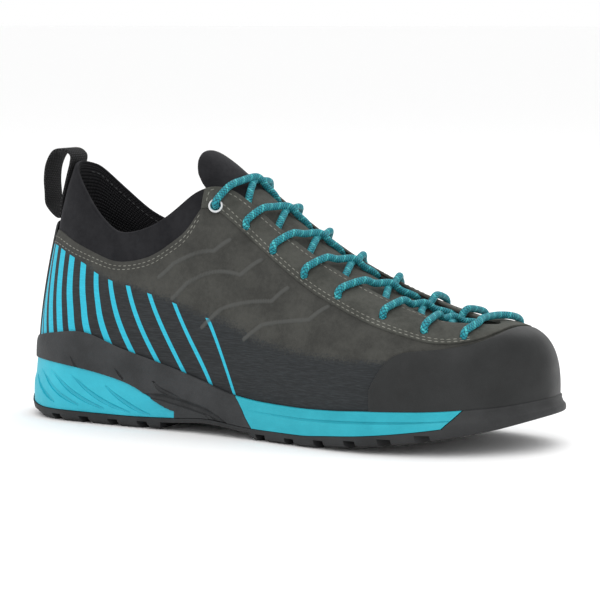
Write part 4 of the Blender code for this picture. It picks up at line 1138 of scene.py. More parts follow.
# Its dark tone is painted shade in the hollows between the mesh's loops.
LINING = Finish(
    "mesh lining", (0.004, 0.004, 0.005), (0.026, 0.026, 0.028),
    Look.WEAVE, 0.9, 0.0004, (0.0022, 0.0018), specular=0.2,
)
RAND = Finish(
    "rand rubber", (0.013, 0.0137, 0.0138), (0.020, 0.021, 0.0213),
    Look.MOULDED, 0.50, 0.00004, (0.0005,), specular=0.26,
)
OUTSOLE = Finish(
    "outsole rubber", (0.013, 0.0135, 0.014), (0.026, 0.027, 0.028),
    Look.MOULDED, 0.62, 0.00008, (0.0006,), specular=0.35,
)
FRAME_FOAM = Finish(
    "midsole foam", (0.020, 0.021, 0.022), (0.036, 0.038, 0.040),
    Look.MOULDED, 0.66, 0.00012, (0.0009,), specular=0.3,
)
TURQUOISE = Finish(
    "turquoise foam", (0.012, 0.36, 0.47), (0.020, 0.44, 0.56),
    Look.MOULDED, 0.52, 0.00004, (0.0007,), specular=0.45,
)
TOE_TURQUOISE = Finish(
    "forefoot foam", (0.006, 0.30, 0.38), (0.013, 0.37, 0.46),
    Look.MOULDED, 0.55, 0.00004, (0.0007,), specular=0.4,
)
# Its dark tone is painted shade in the grooves between the braid's strands.
LACE = Finish(
    "braided lace", (0.002, 0.075, 0.10), (0.006, 0.27, 0.33),
    Look.BRAID, 0.72, 0.0005, (0.0060,), fleck=(0.05, 0.46, 0.50),
)
THREAD = Finish("seam thread", (0.13, 0.13, 0.11), (0.24, 0.24, 0.21), Look.NAP, 0.8, 0.00003, (0.0003,))
DARK_THREAD = Finish(
    "rim thread", (0.035, 0.036, 0.037), (0.070, 0.072, 0.074),
    Look.NAP, 0.8, 0.00003, (0.0003,),
)
METAL = Finish(
    "eyelet metal", (0.50, 0.51, 0.52), (0.78, 0.79, 0.80),
    Look.MOULDED, 0.34, 0.00001, (0.0006,), metallic=1.0,
)
# Its dark tone is painted shade in the hollows of the weave.
WEBBING = Finish(
    "webbing", (0.007, 0.007, 0.0075), (0.028, 0.028, 0.029),
    Look.WEAVE, 0.85, 0.0003, (0.0016, 0.0010), specular=0.2,
)
# Its dark tone is painted shade in the hollows of the cloth's weave.
FOOTBED = Finish(
    "footbed cloth", (0.007, 0.007, 0.008), (0.020, 0.020, 0.022),
    Look.WEAVE, 0.92, 0.0002, (0.0016, 0.0016),
)
FLOOR = Finish(
    "studio floor", (0.97, 0.97, 0.97), (0.98, 0.98, 0.98),
    Look.MOULDED, 0.9, 0.0, (0.01,), specular=0.1,
)


@dataclass
class Kit:
    """What every sub-assembly is built with: the form and the materials."""

    last: Last
    effects: Effects
    shelf: dict[str, bpy.types.Material] = field(default_factory=dict)

    def of(self, finish: Finish) -> bpy.types.Material:
        """The finish's material, made the first time it is asked for.

        Args:
            finish: the finish.

        Returns:
            The material.
        """
        if finish.name not in self.shelf:
            self.shelf[finish.name] = finish.build(self.effects)
        return self.shelf[finish.name]


def profile(steps: Sequence[tuple[float, float]], depth: float) -> bmesh.types.BMesh:
    """A block with this outline of (x, z), across the whole shoe.

    Args:
        steps: corners of the outline.
        depth: how far it reaches to each side.

    Returns:
        The block.
    """
    made = bmesh.new()
    bmesh.ops.create_circle(made, cap_ends=True, radius=1.0, segments=len(steps))
    for vert, (x, z) in zip(made.verts, steps):
        vert.co = (x, -depth, z)
    pushed = bmesh.ops.extrude_face_region(made, geom=list(made.faces))["geom"]
    moved = [item for item in pushed if isinstance(item, bmesh.types.BMVert)]
    bmesh.ops.translate(made, vec=(0.0, 2 * depth, 0.0), verts=moved)
    bmesh.ops.recalc_face_normals(made, faces=made.faces)
    return made


@dataclass
class Sole:
    """Outsole, the two foam inserts and the midsole, cut from one blank as the solids are."""

    kit: Kit
    columns: int = 300
    rim_wall: float = 0.0018
    base: float = 0.0022
    lug: float = 0.0036
    joint_top: float = 0.452
    joint_foot: float = 0.520
    tip_top: float = 0.945
    tip_foot: float = 0.870
    wedge_tip: float = 0.352
    wedge_tip_inner: float = 0.405
    wedge_step: float = 0.0008
    groove: float = 0.0014
    slot_pitch: float = 0.0185
    slot_width: float = 0.0058
    tread: tuple[tuple[float, float], ...] = ((0.055, 0.300), (0.545, 0.850))
    grooves: tuple[tuple[float, ...], ...] = (
        (0.045, 0.105, 0.62, 0.16, 0.05),
        (0.060, 0.160, 0.80, 0.16, 0.08),
        (0.090, 0.215, 0.84, 0.15, 0.09),
        (0.140, 0.268, 0.82, 0.15, 0.08),
        (0.215, 0.310, 0.78, 0.18, 0.04),
    )
    cuts: tuple[tuple[float, tuple[tuple[float, float], ...]], ...] = (
        (0.0022, ((60.0, 0.72), (64.0, 0.71), (68.0, 0.69), (76.0, 0.57), (82.0, 0.43), (87.5, 0.18))),
        (0.0014, ((63.5, 1.06), (65.5, 0.89), (69.5, 0.77), (72.0, 0.73))),
        (0.0014, ((78.0, 0.50), (81.0, 0.33), (84.0, 0.16), (86.0, 0.06))),
        (0.0008, ((38.5, 1.40), (40.0, 1.20), (42.0, 0.97))),
        (0.0008, ((52.5, 1.30), (54.0, 1.10), (55.8, 0.90))),
    )
    insert_cuts: tuple[tuple[float, tuple[tuple[float, float], ...]], ...] = (
        (0.0007, ((86.0, 0.86), (100.0, 0.84), (115.0, 0.82), (130.0, 0.81), (143.0, 0.80), (156.0, 0.80))),
    )
    wall: tuple[tuple[float, float], ...] = (
        (0.00, 0.95), (0.02, 0.72), (0.10, 0.20), (0.22, 0.04), (0.35, 0.00),
        (0.48, 0.01), (0.62, 0.05), (0.72, 0.15), (0.80, 0.30),
    )
    rim_section: tuple[tuple[float, float], ...] = (
        (0.20, 1.00), (0.45, 1.00), (0.70, 0.97), (0.86, 0.86), (0.96, 0.66), (1.00, 0.42),
    )
    behind: float = -0.08

    def blank(self, step: float = 0.0) -> bmesh.types.BMesh:
        """The whole sole as one closed block.

        Args:
            step: how far its side is pulled in.

        Returns:
            The mesh.
        """
        last = self.kit.last
        rows: list[Callable[[np.ndarray], np.ndarray]] = []

        def under(share: float) -> Callable[[np.ndarray], np.ndarray]:
            """Underside, from the middle (0) to the border (1).

            Args:
                share: how far out.

            Returns:
                The points for any turns.
            """

            def place(turn: np.ndarray) -> np.ndarray:
                """Point between the border and the middle of the rung across the foot.

                Args:
                    turn: where round the last.

                Returns:
                    The points.
                """
                here, there = (self.side_point(each, 0.0, 0.95, step) for each in (turn, mirrored(turn)))
                middle = (here + there) / 2
                return middle + (here - middle) * share

            return place

        def seat(share: float) -> Callable[[np.ndarray], np.ndarray]:
            """Seat inside the rim, from the border (1) to the middle (0).

            Args:
                share: how far out.

            Returns:
                The points for any turns.
            """

            def place(turn: np.ndarray) -> np.ndarray:
                """Point between the rim's foot and the middle.

                Args:
                    turn: where round the last.

                Returns:
                    The points.
                """
                spots = []
                for each in (turn, mirrored(turn)):
                    spot = last.skin(each, 0.0 * each) + last.normal(each, 0.0 * each) * last.gap
                    spot[..., 2] = last.seat(each)
                    spots.append(spot)
                middle = (spots[0] + spots[1]) / 2
                return middle + (spots[0] - middle) * share

            return place

        rows += [under(share) for share in (0.0, 0.5, 0.85)]
        for high, inset in self.wall:
            rows.append(lambda turn, high=high, inset=inset: self.side_point(turn, high, inset, step))
        for share, full in self.rim_section:
            offset = last.gap + self.rim_wall * full - step
            rows.append(lambda turn, share=share, offset=offset: self.rim_point(turn, share, offset))
        rows += [lambda turn, share=share: self.rim_point(turn, share, last.gap) for share in (0.97, 0.5)]
        rows += [seat(share) for share in (1.0, 0.5, 0.0)]

        def place(turn: np.ndarray, row: np.ndarray) -> np.ndarray:
            """Point of the blank.

            Args:
                turn: where round the last.
                row: rows of the blank.

            Returns:
                The points.
            """
            made = np.zeros((len(turn), 3))
            for index, each in enumerate(rows):
                here = row == index
                made[here] = each(turn[here])
            return made

        turns = np.linspace(0.0, 360.0, self.columns + 1)
        made = bent_grid(turns, range(len(rows)), place, wrap_across=True)
        bmesh.ops.dissolve_degenerate(made, edges=made.edges, dist=SLIVER)
        bmesh.ops.recalc_face_normals(made, faces=made.faces)
        return made

    def side_point(self, turn: np.ndarray, high: float, inset: float, step: float) -> np.ndarray:
        """Point on the sole's side at a share of its height and of its margin.

        Args:
            turn: where round the last.
            high: share of the way up to the seat.
            inset: how far in from the outline, in margins.
            step: a further inset, in metres.

        Returns:
            The points.
        """
        last = self.kit.last
        plain = last.outline(turn)[0]
        floor = last.level("spring", plain)
        x, y, _, _ = last.outline(turn, inset * last.margin + step)
        return points(x, y, floor + high * (last.seat(turn) - floor))

    def rim_point(self, turn: np.ndarray, share: float, offset: float) -> np.ndarray:
        """Point on the sole's rim, out of the upper's skin.

        Args:
            turn: where round the last.
            share: how far up the rim.
            offset: how far out of the skin.

        Returns:
            The points.
        """
        last = self.kit.last
        seat = last.seat(turn)
        height = seat + share * (last.rim(turn) - seat)
        shares = last.share_at_height(turn, height)
        return last.skin(turn, shares) + last.normal(turn, shares) * offset

    def base_top(self, x: np.ndarray) -> np.ndarray:
        """Height of the outsole's base, under the foam."""
        return self.kit.last.level("spring", x) + self.lug + self.base

    def room(
        self,
        start_top: float,
        start_foot: float,
        tip_foot: float,
        tip_top: float,
        gap: float,
    ) -> bmesh.types.BMesh:
        """Block over the outsole's base between two slanted ends.

        Args:
            start_top: share of the length where the rear end reaches the seat's height.
            start_foot: share of the length where it starts.
            tip_foot: share of the length where the front end starts.
            tip_top: share of the length where that reaches the seat's height.
            gap: clearance over the base.

        Returns:
            The block.
        """
        last = self.kit.last
        shares = np.linspace(self.behind, 1.0, 73)
        inside = [share for share in shares if start_foot + 0.002 < share < tip_foot - 0.002]
        xs = [last.along_x(share) for share in (start_foot, *inside, tip_foot)]
        steps = [(x, float(self.base_top(x)) + gap) for x in xs]
        tall = 0.2
        lean = (last.along_x(tip_top) - steps[-1][0]) / last.seat_height
        start_lean = (last.along_x(start_top) - steps[0][0]) / last.seat_height
        steps.append((steps[-1][0] + lean * tall, tall))
        steps.append((steps[0][0] + start_lean * tall, tall))
        return profile(steps, last.ball_width)

    def wedge_block(self, gap: float) -> bmesh.types.BMesh:
        """Block under the split between heel wedge and midsole.

        Args:
            gap: how far it reaches past the split.

        Returns:
            The block.
        """
        last = self.kit.last
        shares = np.linspace(0.0, 1.0, 40)

        def place(share: np.ndarray, row: np.ndarray) -> np.ndarray:
            """Point of the block; rows 0 and 1 are its top, 2 and 3 its foot.

            Args:
                share: how far along from its heel end.
                row: its four edges.

            Returns:
                The points.
            """
            inner = (row == 1) | (row == 2)
            tip = np.where(inner, self.wedge_tip_inner, self.wedge_tip) + gap / last.length
            along = -0.06 + (tip + 0.06) * share
            x = (along - 0.5) * last.length
            split = np.where(inner, last.level("split_inner", x), last.level("split_outer", x)) + gap
            y = np.where(inner, 0.5, -0.5) * last.ball_width
            return points(x, y, np.where(row < 2, split, -last.seat_height))

        rows = (0, 1, 2, 3, 4)
        return bent_grid(shares, rows, lambda share, row: place(share, row % 4), wrap_along=True, capped=True)

    def groove_rods(self) -> bmesh.types.BMesh:
        """Rods along the ribs in the heel wedge's sides.

        Returns:
            The rods as one mesh.
        """
        last = self.kit.last
        made = bmesh.new()
        for side in (-1, 1):
            turns = np.linspace(4.0, 100.0, 193)
            turns = turns if side < 0 else 360.0 - turns
            xs = last.outline(turns)[0]
            order = np.argsort(xs)
            split_name = "split_outer" if side < 0 else "split_inner"
            for start, finish, start_high, finish_high, sag in self.grooves:
                part = np.linspace(0.0, 1.0, 15)
                x = last.along_x(start + part * (finish - start))
                turn = np.interp(x, xs[order], turns[order])
                high = start_high + part * (finish_high - start_high) - sag * np.sin(np.pi * part)
                floor = self.base_top(x)
                z = floor + high * (last.level(split_name, x) - floor)
                spring = last.level("spring", x)
                inset = np.interp((z - spring) / (last.seat(turn) - spring), *zip(*self.wall)) * last.margin
                px, py, _, _ = last.outline(turn, inset + self.wedge_step)
                add_mesh(made, tube(points(px, py, z), self.groove * np.sin(0.25 + part * 2.5), 6))
        return made

    def rods(self, cuts: Sequence[tuple[float, tuple[tuple[float, float], ...]]]) -> bmesh.types.BMesh:
        """Tapered rods that cut grooves and slits into both sides.

        Args:
            cuts: each groove's radius and its line of turns and shares of the height, the rim's added to 1.

        Returns:
            The rods.
        """
        last = self.kit.last
        made = bmesh.new()
        for radius, line in cuts:
            turn, high = smooth_path([(*spot, 0.0) for spot in line], 5)[:, :2].T
            part = np.linspace(0.0, 1.0, len(turn))
            for side in (turn, mirrored(turn)):
                inset = np.interp(high, *zip(*self.wall))
                low = self.side_point(side, np.minimum(high, 1.0), inset, 0.0)
                above = self.rim_point(side, np.clip(high - 1.0, 0.0, 1.0), last.gap + self.rim_wall)
                path = np.where((high > 1.0)[:, None], above, low)
                add_mesh(made, tube(path, radius * np.sin(0.2 + part * 2.7), 8))
        return made

    def slots(self) -> bmesh.types.BMesh:
        """Blocks that part the lugs, from both borders and down the middle.

        Returns:
            The blocks as one mesh.
        """
        last = self.kit.last
        made = bmesh.new()
        for start, finish in self.tread:
            count = round((finish - start) * last.length / self.slot_pitch)
            for index in range(count + 1):
                x = last.along_x(start + (finish - start) * index / count)
                tall = 2 * (float(last.level("spring", x)) + self.lug)
                for side in (-1, 1):
                    reach = 0.30 * last.ball_width
                    middle = self.border(x, side) - side * (reach / 2 - last.margin * 2)
                    self.slot_block(made, x, middle, reach, tall, side * math.radians(18.0))
                if index < count:
                    middle = (self.border(x, 1) + self.border(x, -1)) / 2
                    self.slot_block(made, x + self.slot_pitch / 2, middle, 0.13 * last.ball_width, tall, 0.0)
        return made

    def slot_block(
        self,
        made: bmesh.types.BMesh,
        x: float,
        y: float,
        reach: float,
        tall: float,
        turned: float,
    ) -> None:
        """Add one block, turned about its middle.

        Args:
            made: the mesh that grows.
            x: its place along the shoe.
            y: its place across.
            reach: its length.
            tall: its height.
            turned: its angle in radians.
        """
        cut = bmesh.ops.create_cube(made, size=1.0)["verts"]
        bmesh.ops.scale(made, vec=(self.slot_width, reach, tall), verts=cut)
        place = Matrix.Translation((x, y, 0.0)) @ Matrix.Rotation(turned, 4, "Z")
        bmesh.ops.transform(made, matrix=place, verts=cut)

    def border(self, x: float, side: int) -> float:
        """Where the outline is at x, on the outer (-1) or the inner (1) side.

        Args:
            x: the place along the shoe.
            side: the side.

        Returns:
            The place across.
        """
        turns = np.linspace(2.0, 178.0, 353)
        turns = turns if side < 0 else 360.0 - turns
        xs, ys, _, _ = self.kit.last.outline(turns)
        order = np.argsort(xs)
        return float(np.interp(x, xs[order], ys[order]))

    def waist(self) -> bmesh.types.BMesh:
        """Block that clears the tread under the arch.

        Returns:
            The block.
        """
        last = self.kit.last
        xs = np.linspace(last.along_x(0.330), last.along_x(0.515), 24)
        steps = [(x, float(last.level("spring", x)) + self.lug) for x in xs]
        steps += [(xs[-1] + self.lug, -self.lug), (xs[0] - self.lug, -self.lug)]
        return profile(steps, last.ball_width)

    def build(self) -> None:
        """Cut all four pieces."""
        gap = self.kit.last.gap
        clear = 1.2 * gap / self.kit.last.length
        room = self.room(self.behind, self.behind, self.tip_foot, self.tip_top, 0.0)
        outsole = carve(self.blank(), [("DIFFERENCE", room), ("DIFFERENCE", self.waist())])
        outsole = carve(outsole, [("DIFFERENCE", self.slots())], whole=True)
        put("outsole_tread", outsole, [self.kit.of(OUTSOLE)], ["outsole"], 30.0)
        front = self.room(self.joint_top, self.joint_foot, self.tip_foot - clear, self.tip_top - clear, gap)
        insert = carve(self.blank(), [("INTERSECT", front)])
        insert = carve(insert, [("DIFFERENCE", self.rods(self.insert_cuts))], whole=True)
        foam = [self.kit.of(TOE_TURQUOISE)]
        put("forefoot_foam", insert, foam, ["forefoot_insert"], 30.0)
        rear = self.room(self.behind, self.behind, self.joint_foot - clear, self.joint_top - clear, gap)
        midsole = carve(self.blank(), [("INTERSECT", rear), ("DIFFERENCE", self.wedge_block(0.0))])
        midsole = carve(midsole, [("DIFFERENCE", self.rods(self.cuts))], whole=True)
        put("midsole_frame", midsole, [self.kit.of(FRAME_FOAM)], ["midsole"], 30.0)
        rear = self.room(self.behind, self.behind, self.joint_foot - clear, self.joint_top - clear, gap)
        under = self.wedge_block(-gap)
        steps = [("INTERSECT", rear), ("INTERSECT", under), ("DIFFERENCE", self.groove_rods())]
        wedge = carve(self.blank(self.wedge_step), steps)
        put("heel_foam", wedge, [self.kit.of(TURQUOISE)], ["heel_insert"], 30.0)


def add_mesh(made: bmesh.types.BMesh, other: bmesh.types.BMesh) -> None:
    """Put another mesh, which is used up, into this one.

    Args:
        made: the mesh that grows.
        other: the mesh to add.
    """
    mesh = bpy.data.meshes.new("joining")
    other.to_mesh(mesh)
    other.free()
    made.from_mesh(mesh)
    bpy.data.meshes.remove(mesh)


PRESSED_LINES = (
    ((86.0, 0.710), (82.0, 0.637), (70.0, 0.655), (65.0, 0.620)),
    ((95.5, 0.705), (89.5, 0.562), (74.5, 0.520), (69.5, 0.470)),
    ((104.0, 0.640), (99.5, 0.517), (83.5, 0.378), (78.0, 0.300)),
    ((116.0, 0.655), (111.0, 0.517), (96.0, 0.373), (90.0, 0.275)),
)
FILM_BORDER = (
    (0, 0.60), (13, 0.62), (36, 0.68), (48, 0.66), (56, 0.62), (65, 0.52),
    (78, 0.36), (94, 0.30), (118, 0.33), (132, 0.35), (180, 0.40),
)


@dataclass
class Upper:
    """Quarter, collar, lining, footbed and the overlays sewn on the quarter."""

    kit: Kit
    wall: float = 0.0022
    pad: float = 0.0008
    cuff_step: float = 0.0009
    suede_wall: float = 0.0013
    stay_thickness: float = 0.0012
    rand_thickness: float = 0.0011
    strip_thickness: float = 0.0010
    lace_hole: float = 0.0021
    ring_hole: float = 0.0030
    line_rise: float = 0.00055
    line_half: float = 0.0010
    turn_steps: tuple[tuple[float, float, float], ...] = (
        (0.0, 60.0, 0.75),
        (60.0, 120.0, 0.40),
        (120.0, 240.0, 0.75),
        (240.0, 300.0, 0.40),
        (300.0, 360.0, 0.75),
    )
    footbed_thickness: float = 0.0040
    girth: float = 0.78
    mesh_row: int = 30

    def step(self, turn: np.ndarray) -> np.ndarray:
        """How far the collar lies below the quarter."""
        return self.cuff_step * np.clip((0.95 - self.kit.last.rib("cuff", turn)) / 0.08, 0.0, 1.0)

    def thickness(self, turn: np.ndarray, share: np.ndarray) -> np.ndarray:
        """Thickness of the whole wall, as in the solid.

        Args:
            turn: where round the last.
            share: how far up the rib.

        Returns:
            The thickness in metres.
        """
        cuff = self.kit.last.rib("cuff", turn)
        padding = np.clip((share - cuff + 0.15) / 0.15, 0.0, 1.0)
        return self.wall + self.pad * padding * self.step(turn) / self.cuff_step

    def bars(self, turn: np.ndarray, share: np.ndarray) -> np.ndarray:
        """Where the printed bars run.

        The outer side has wide bars that lean towards the toe as they go down, the inner side
        a few thin lines that lean back.

        Args:
            turn: where round the last.
            share: how far up the rib.

        Returns:
            The bars' count from the heel, and half of a bar's width as a share of the count.
        """
        inner = turn > 180
        out = np.where(inner, 360.0 - turn, turn)
        lean = np.clip(1.0 - share / np.maximum(self.kit.last.rib("cuff", turn), 0.1), 0.0, 1.0)
        wide = 13.0 * (np.clip(out - 3.0 - 15.0 * lean**1.4, 0.0, None) / 72.0) ** 0.85
        thin = (out + 14.0 * lean**1.3) / 17.0
        half = np.interp(wide, (0.0, 1.0, 5.0, 9.0, 12.98, 13.0), (0.36, 0.36, 0.26, 0.12, 0.06, -0.5))
        faint = np.interp(thin, (0.9, 1.0, 5.0, 5.98, 6.0), (-0.5, 0.028, 0.016, 0.012, -0.5))
        return np.stack((np.where(inner, thin, wide), np.where(inner, faint, half)), axis=-1)

    def film(self, turn: np.ndarray, share: np.ndarray) -> np.ndarray:
        """How far below the film's border a spot lies, and its share.

        Args:
            turn: where round the last.
            share: how far up the rib.

        Returns:
            Both, side by side in the last axis.
        """
        out = np.where(turn > 180, 360.0 - turn, turn)
        border = np.interp(out, *zip(*FILM_BORDER))
        return np.stack((border - share, share), axis=-1)

    def near_line(self, turn: np.ndarray, share: np.ndarray) -> np.ndarray:
        """Distance from each spot to the nearest pressed line.

        Args:
            turn: where round the last.
            share: how far up the rib.

        Returns:
            The distances in metres.
        """
        last = self.kit.last
        spots = last.skin(turn, share)
        made = np.full(len(spots), 1.0)
        for line in PRESSED_LINES:
            fine = np.linspace(0.0, len(line) - 1.0, 60)
            turns, shares = (np.interp(fine, range(len(line)), track) for track in zip(*line))
            for side in (turns, mirrored(turns)):
                for point in last.skin(side, shares):
                    made = np.minimum(made, np.linalg.norm(spots - point, axis=1))
        return made

    def press(self, turn: np.ndarray, share: np.ndarray) -> np.ndarray:
        """Millimetres to the nearest pressed line, for the shader."""
        near = self.near_line(turn, share) * 1000.0
        return np.stack((near, near * 0.0), axis=-1)

    def build(self) -> None:
        """Build and dress all of it."""
        self.quarter()
        self.collar()
        self.lining()
        self.footbed()
        self.eyestay()
        self.rand()
        self.strip()

    def quarter(self) -> None:
        """The suede wall under the cuff and the eyestay."""
        last = self.kit.last
        shares = np.linspace(0.0, 1.0, 96)
        spans = [np.arange(start, stop, step) for start, stop, step in self.turn_steps]
        turns = np.concatenate(spans + [[360.0]])
        rows = [(share, 0.0) for share in shares]
        rows += [(1.004, -0.25), (1.005, -0.7), (1.0, -1.0)]
        rows += [(share, -1.0) for share in np.linspace(0.95, 0.0, 10)] + [(0.0, 0.0)]
        share_at, drop_at = np.array(rows).T

        def place(turn: np.ndarray, row: np.ndarray) -> np.ndarray:
            """Point of the wall's section.

            Args:
                turn: where round the last.
                row: rows of the section.

            Returns:
                The points.
            """
            row = row.astype(int)
            share = last.rib("cuff", turn) * share_at[row]
            edge = smooth_step(0.965, 1.0, share_at[row]) * 0.0004
            outside = drop_at[row] == 0.0
            raised = np.zeros(len(turn))
            near = self.near_line(turn[outside], share[outside])
            raised[outside] = self.line_rise * np.exp(-((near / self.line_half) ** 2))
            offset = raised + drop_at[row] * self.suede_wall - edge * (drop_at[row] > -0.9)
            made = last.at(turn, share, offset)
            foot = share_at[row] == 0.0
            made[foot, 2] = last.seat(turn[foot]) + last.gap
            return made

        def on_skin(mark: Place) -> Place:
            """A mark read at a row's share."""
            return lambda turn, row: mark(turn, last.rib("cuff", turn) * share_at[row.astype(int)])

        marks = {"bars": on_skin(self.bars), "film": on_skin(self.film), "press": on_skin(self.press)}
        made = bent_grid(turns, range(len(rows)), place, True, True, marks=marks)
        made = carve(made, [("DIFFERENCE", self.punch())])
        put("quarter", made, [self.kit.of(SUEDE)], ["upper"])

    def punch(self) -> bmesh.types.BMesh:
        """Rods through the eyelets.

        Returns:
            The rods as one mesh.
        """
        made = bmesh.new()
        for index, eyelet in enumerate(EYELETS):
            for turn in (eyelet.turn, mirrored(eyelet.turn)):
                radius = self.lace_hole if index else self.ring_hole
                rod = bmesh.ops.create_cone(
                    made, cap_ends=True, segments=20, radius1=radius, radius2=radius, depth=0.014
                )
                bmesh.ops.transform(made, matrix=standing(self.kit.last, turn), verts=rod["verts"])
        return made

    def collar(self) -> None:
        """The padded stretch collar, with its mesh-lined inner side."""
        last = self.kit.last
        outer = np.linspace(0.0, 1.0, 26)
        inner = np.linspace(1.0, 0.0, 14)
        rows = [(share, 0.0) for share in outer]
        rows += [(1.0, angle) for angle in np.linspace(0.0, 1.0, 9)[1:-1]]
        rows += [(share, 1.0) for share in inner] + [(0.0, 0.0)]
        share_at, side_at = np.array(rows).T

        def place(turn: np.ndarray, row: np.ndarray) -> np.ndarray:
            """Point of the collar's section.

            Args:
                turn: where round the last.
                row: rows of the section.

            Returns:
                The points.
            """
            row = row.astype(int)
            part, side = share_at[row], side_at[row]
            cuff = last.rib("cuff", turn)
            low = np.where(side > 0.5, cuff - 0.10, cuff - 0.05)
            share = low + (1.0 - low) * part
            step = self.step(turn)
            thick = self.thickness(turn, share)
            crown = 0.0007 * np.sin(np.pi * np.clip(part, 0, 1)) * (step / self.cuff_step)
            tuck = -0.0009 * (1 - smooth_step(0.0, 0.22, part)) * (side < 0.5)
            outer_at = -step + crown + tuck
            inner_at = -thick - step * 0.4 - crown
            middle, half = (outer_at + inner_at) / 2, (outer_at - inner_at) / 2
            bent = np.cos(np.pi * side)
            rise = np.sin(np.pi * side) * half
            made = last.at(turn, share, middle + half * bent)
            up = unit(last.skin(turn, share) - last.skin(turn, share - 0.02))
            return made + up * (rise - 0.0010 * (part > 0.97))[:, None]

        def cloth(turn: np.ndarray, row: np.ndarray) -> np.ndarray:
            """Metres along and up, for the mesh's weave."""
            part = share_at[row.astype(int)]
            return np.stack((turn / 360.0 * self.girth, part * 0.045), axis=-1)

        turns = np.linspace(-79.5, 79.5, 200)
        made = bent_grid(turns, range(len(rows)), place, False, True, True, {"cloth": cloth})
        kept = made.loops.layers.uv["UVMap"]
        for face in made.faces:
            face.material_index = int(min(loop[kept].uv[1] for loop in face.loops) >= self.mesh_row)
        wear_map(made, "cloth")
        mesh = put("collar", made, [self.kit.of(COLLAR_KNIT), self.kit.of(LINING)], ["upper"])

    def lining(self) -> None:
        """The mesh lining behind the suede, all the way round."""
        last = self.kit.last
        rows = [(share, 0.0) for share in np.linspace(0.0, 1.0, 30)]
        rows += [(share, 1.0) for share in np.linspace(1.0, 0.0, 30)] + [(0.0, 0.0)]
        share_at, side_at = np.array(rows).T

        def place(turn: np.ndarray, row: np.ndarray) -> np.ndarray:
            """Point of the lining's section.

            Args:
                turn: where round the last.
                row: rows of the section.

            Returns:
                The points.
            """
            row = row.astype(int)
            cuff = last.rib("cuff", turn)
            top = np.where(cuff < 0.9, cuff - 0.03, THROAT_EDGE)
            share = top * share_at[row]
            near = -self.suede_wall - 0.0002
            far = -self.thickness(turn, share)
            made = last.at(turn, share, np.where(side_at[row] > 0.5, far, near))
            foot = share_at[row] == 0.0
            made[foot, 2] = last.seat(turn[foot]) + last.gap
            return made

        def cloth(turn: np.ndarray, row: np.ndarray) -> np.ndarray:
            """Metres along and up."""
            return np.stack((turn / 360.0 * self.girth, share_at[row.astype(int)] * 0.10), axis=-1)

        turns = np.linspace(0.0, 360.0, 181)
        made = bent_grid(turns, range(len(rows)), place, True, True, marks={"cloth": cloth})
        wear_map(made, "cloth")
        put("lining", made, [self.kit.of(LINING)], ["upper"])

    def footbed(self) -> None:
        """The insole, a little dished."""
        last = self.kit.last
        inset = last.margin + self.wall + 0.0002
        rows = (
            (0.0, 0.0), (0.6, 0.0), (0.97, 0.0), (1.0, 0.25), (1.0, 0.8),
            (0.97, 1.0), (0.8, 0.86), (0.5, 0.80), (0.0, 0.78),
        )
        reach_at, lift_at = np.array(rows).T

        def place(turn: np.ndarray, row: np.ndarray) -> np.ndarray:
            """Point of the footbed's section.

            Args:
                turn: where round the last.
                row: rows of the section.

            Returns:
                The points.
            """
            row = row.astype(int)
            spots = []
            for each in (turn, mirrored(turn)):
                x, y, _, _ = last.outline(each, inset)
                lift = self.footbed_thickness * lift_at[row]
                spots.append(points(x, y, last.level("seat", x) + last.gap + lift))
            middle = (spots[0] + spots[1]) / 2
            return middle + (spots[0] - middle) * reach_at[row][:, None]

        made = bent_grid(np.linspace(0.0, 360.0, 181), range(len(rows)), place, wrap_across=True)
        bmesh.ops.dissolve_degenerate(made, edges=made.edges, dist=SLIVER)
        layer = made.loops.layers.uv["UVMap"]
        for face in made.faces:
            for loop in face.loops:
                loop[layer].uv = (loop.vert.co.x, loop.vert.co.y)
        put("footbed", made, [self.kit.of(FOOTBED)], ["insole"])

    def overlay(
        self,
        turns: np.ndarray,
        low: Callable[[np.ndarray], np.ndarray],
        high: Callable[[np.ndarray], np.ndarray],
        lift: float,
        thick: float,
        rows: int,
        corner: float,
        ends: float,
    ) -> bmesh.types.BMesh:
        """A strip that lies on the quarter, its borders rounded.

        Args:
            turns: the strip's columns.
            low: share of its lower border at each turn.
            high: share of its upper border.
            lift: how far its underside is from the skin.
            thick: its thickness.
            rows: rows across its top.
            corner: share of its width that the rounding takes.
            ends: length over which its two ends are rounded, in degrees.

        Returns:
            The closed mesh.
        """
        last = self.kit.last
        share_at, lift_at = np.array(rounded_rows(rows, corner, 5)).T

        def place(turn: np.ndarray, row: np.ndarray) -> np.ndarray:
            """Point of the strip's section.

            Args:
                turn: where round the last.
                row: rows of the section.

            Returns:
                The points.
            """
            row = row.astype(int)
            bottom, top = low(turn), high(turn)
            share = bottom + (top - bottom) * share_at[row]
            far = np.minimum(turn - turns[0], turns[-1] - turn) / ends
            round_end = np.sqrt(np.clip(far * (2 - np.clip(far, 0, 1)), 0.12, 1.0))
            return last.at(turn, share, lift + thick * lift_at[row] * round_end)

        return bent_grid(turns, range(len(share_at)), place, False, True, True)

    def eyestay(self) -> None:
        """The suede facing round the throat."""
        last = self.kit.last
        ends = np.linspace(78.0, 79.2, 5), np.linspace(280.8, 282.0, 5)
        turns = np.concatenate((ends[0], np.linspace(79.8, 280.2, 300), ends[1]))
        low, high = lambda turn: last.rib("stay", turn), lambda turn: THROAT_EDGE + 0.0 * turn
        made = self.overlay(turns, low, high, last.gap * 0.3, self.stay_thickness, 22, 0.05, 1.2)
        made = carve(made, [("DIFFERENCE", self.punch())])
        put("throat_facing", made, [self.kit.of(STAY_SUEDE)], ["eyestay"])

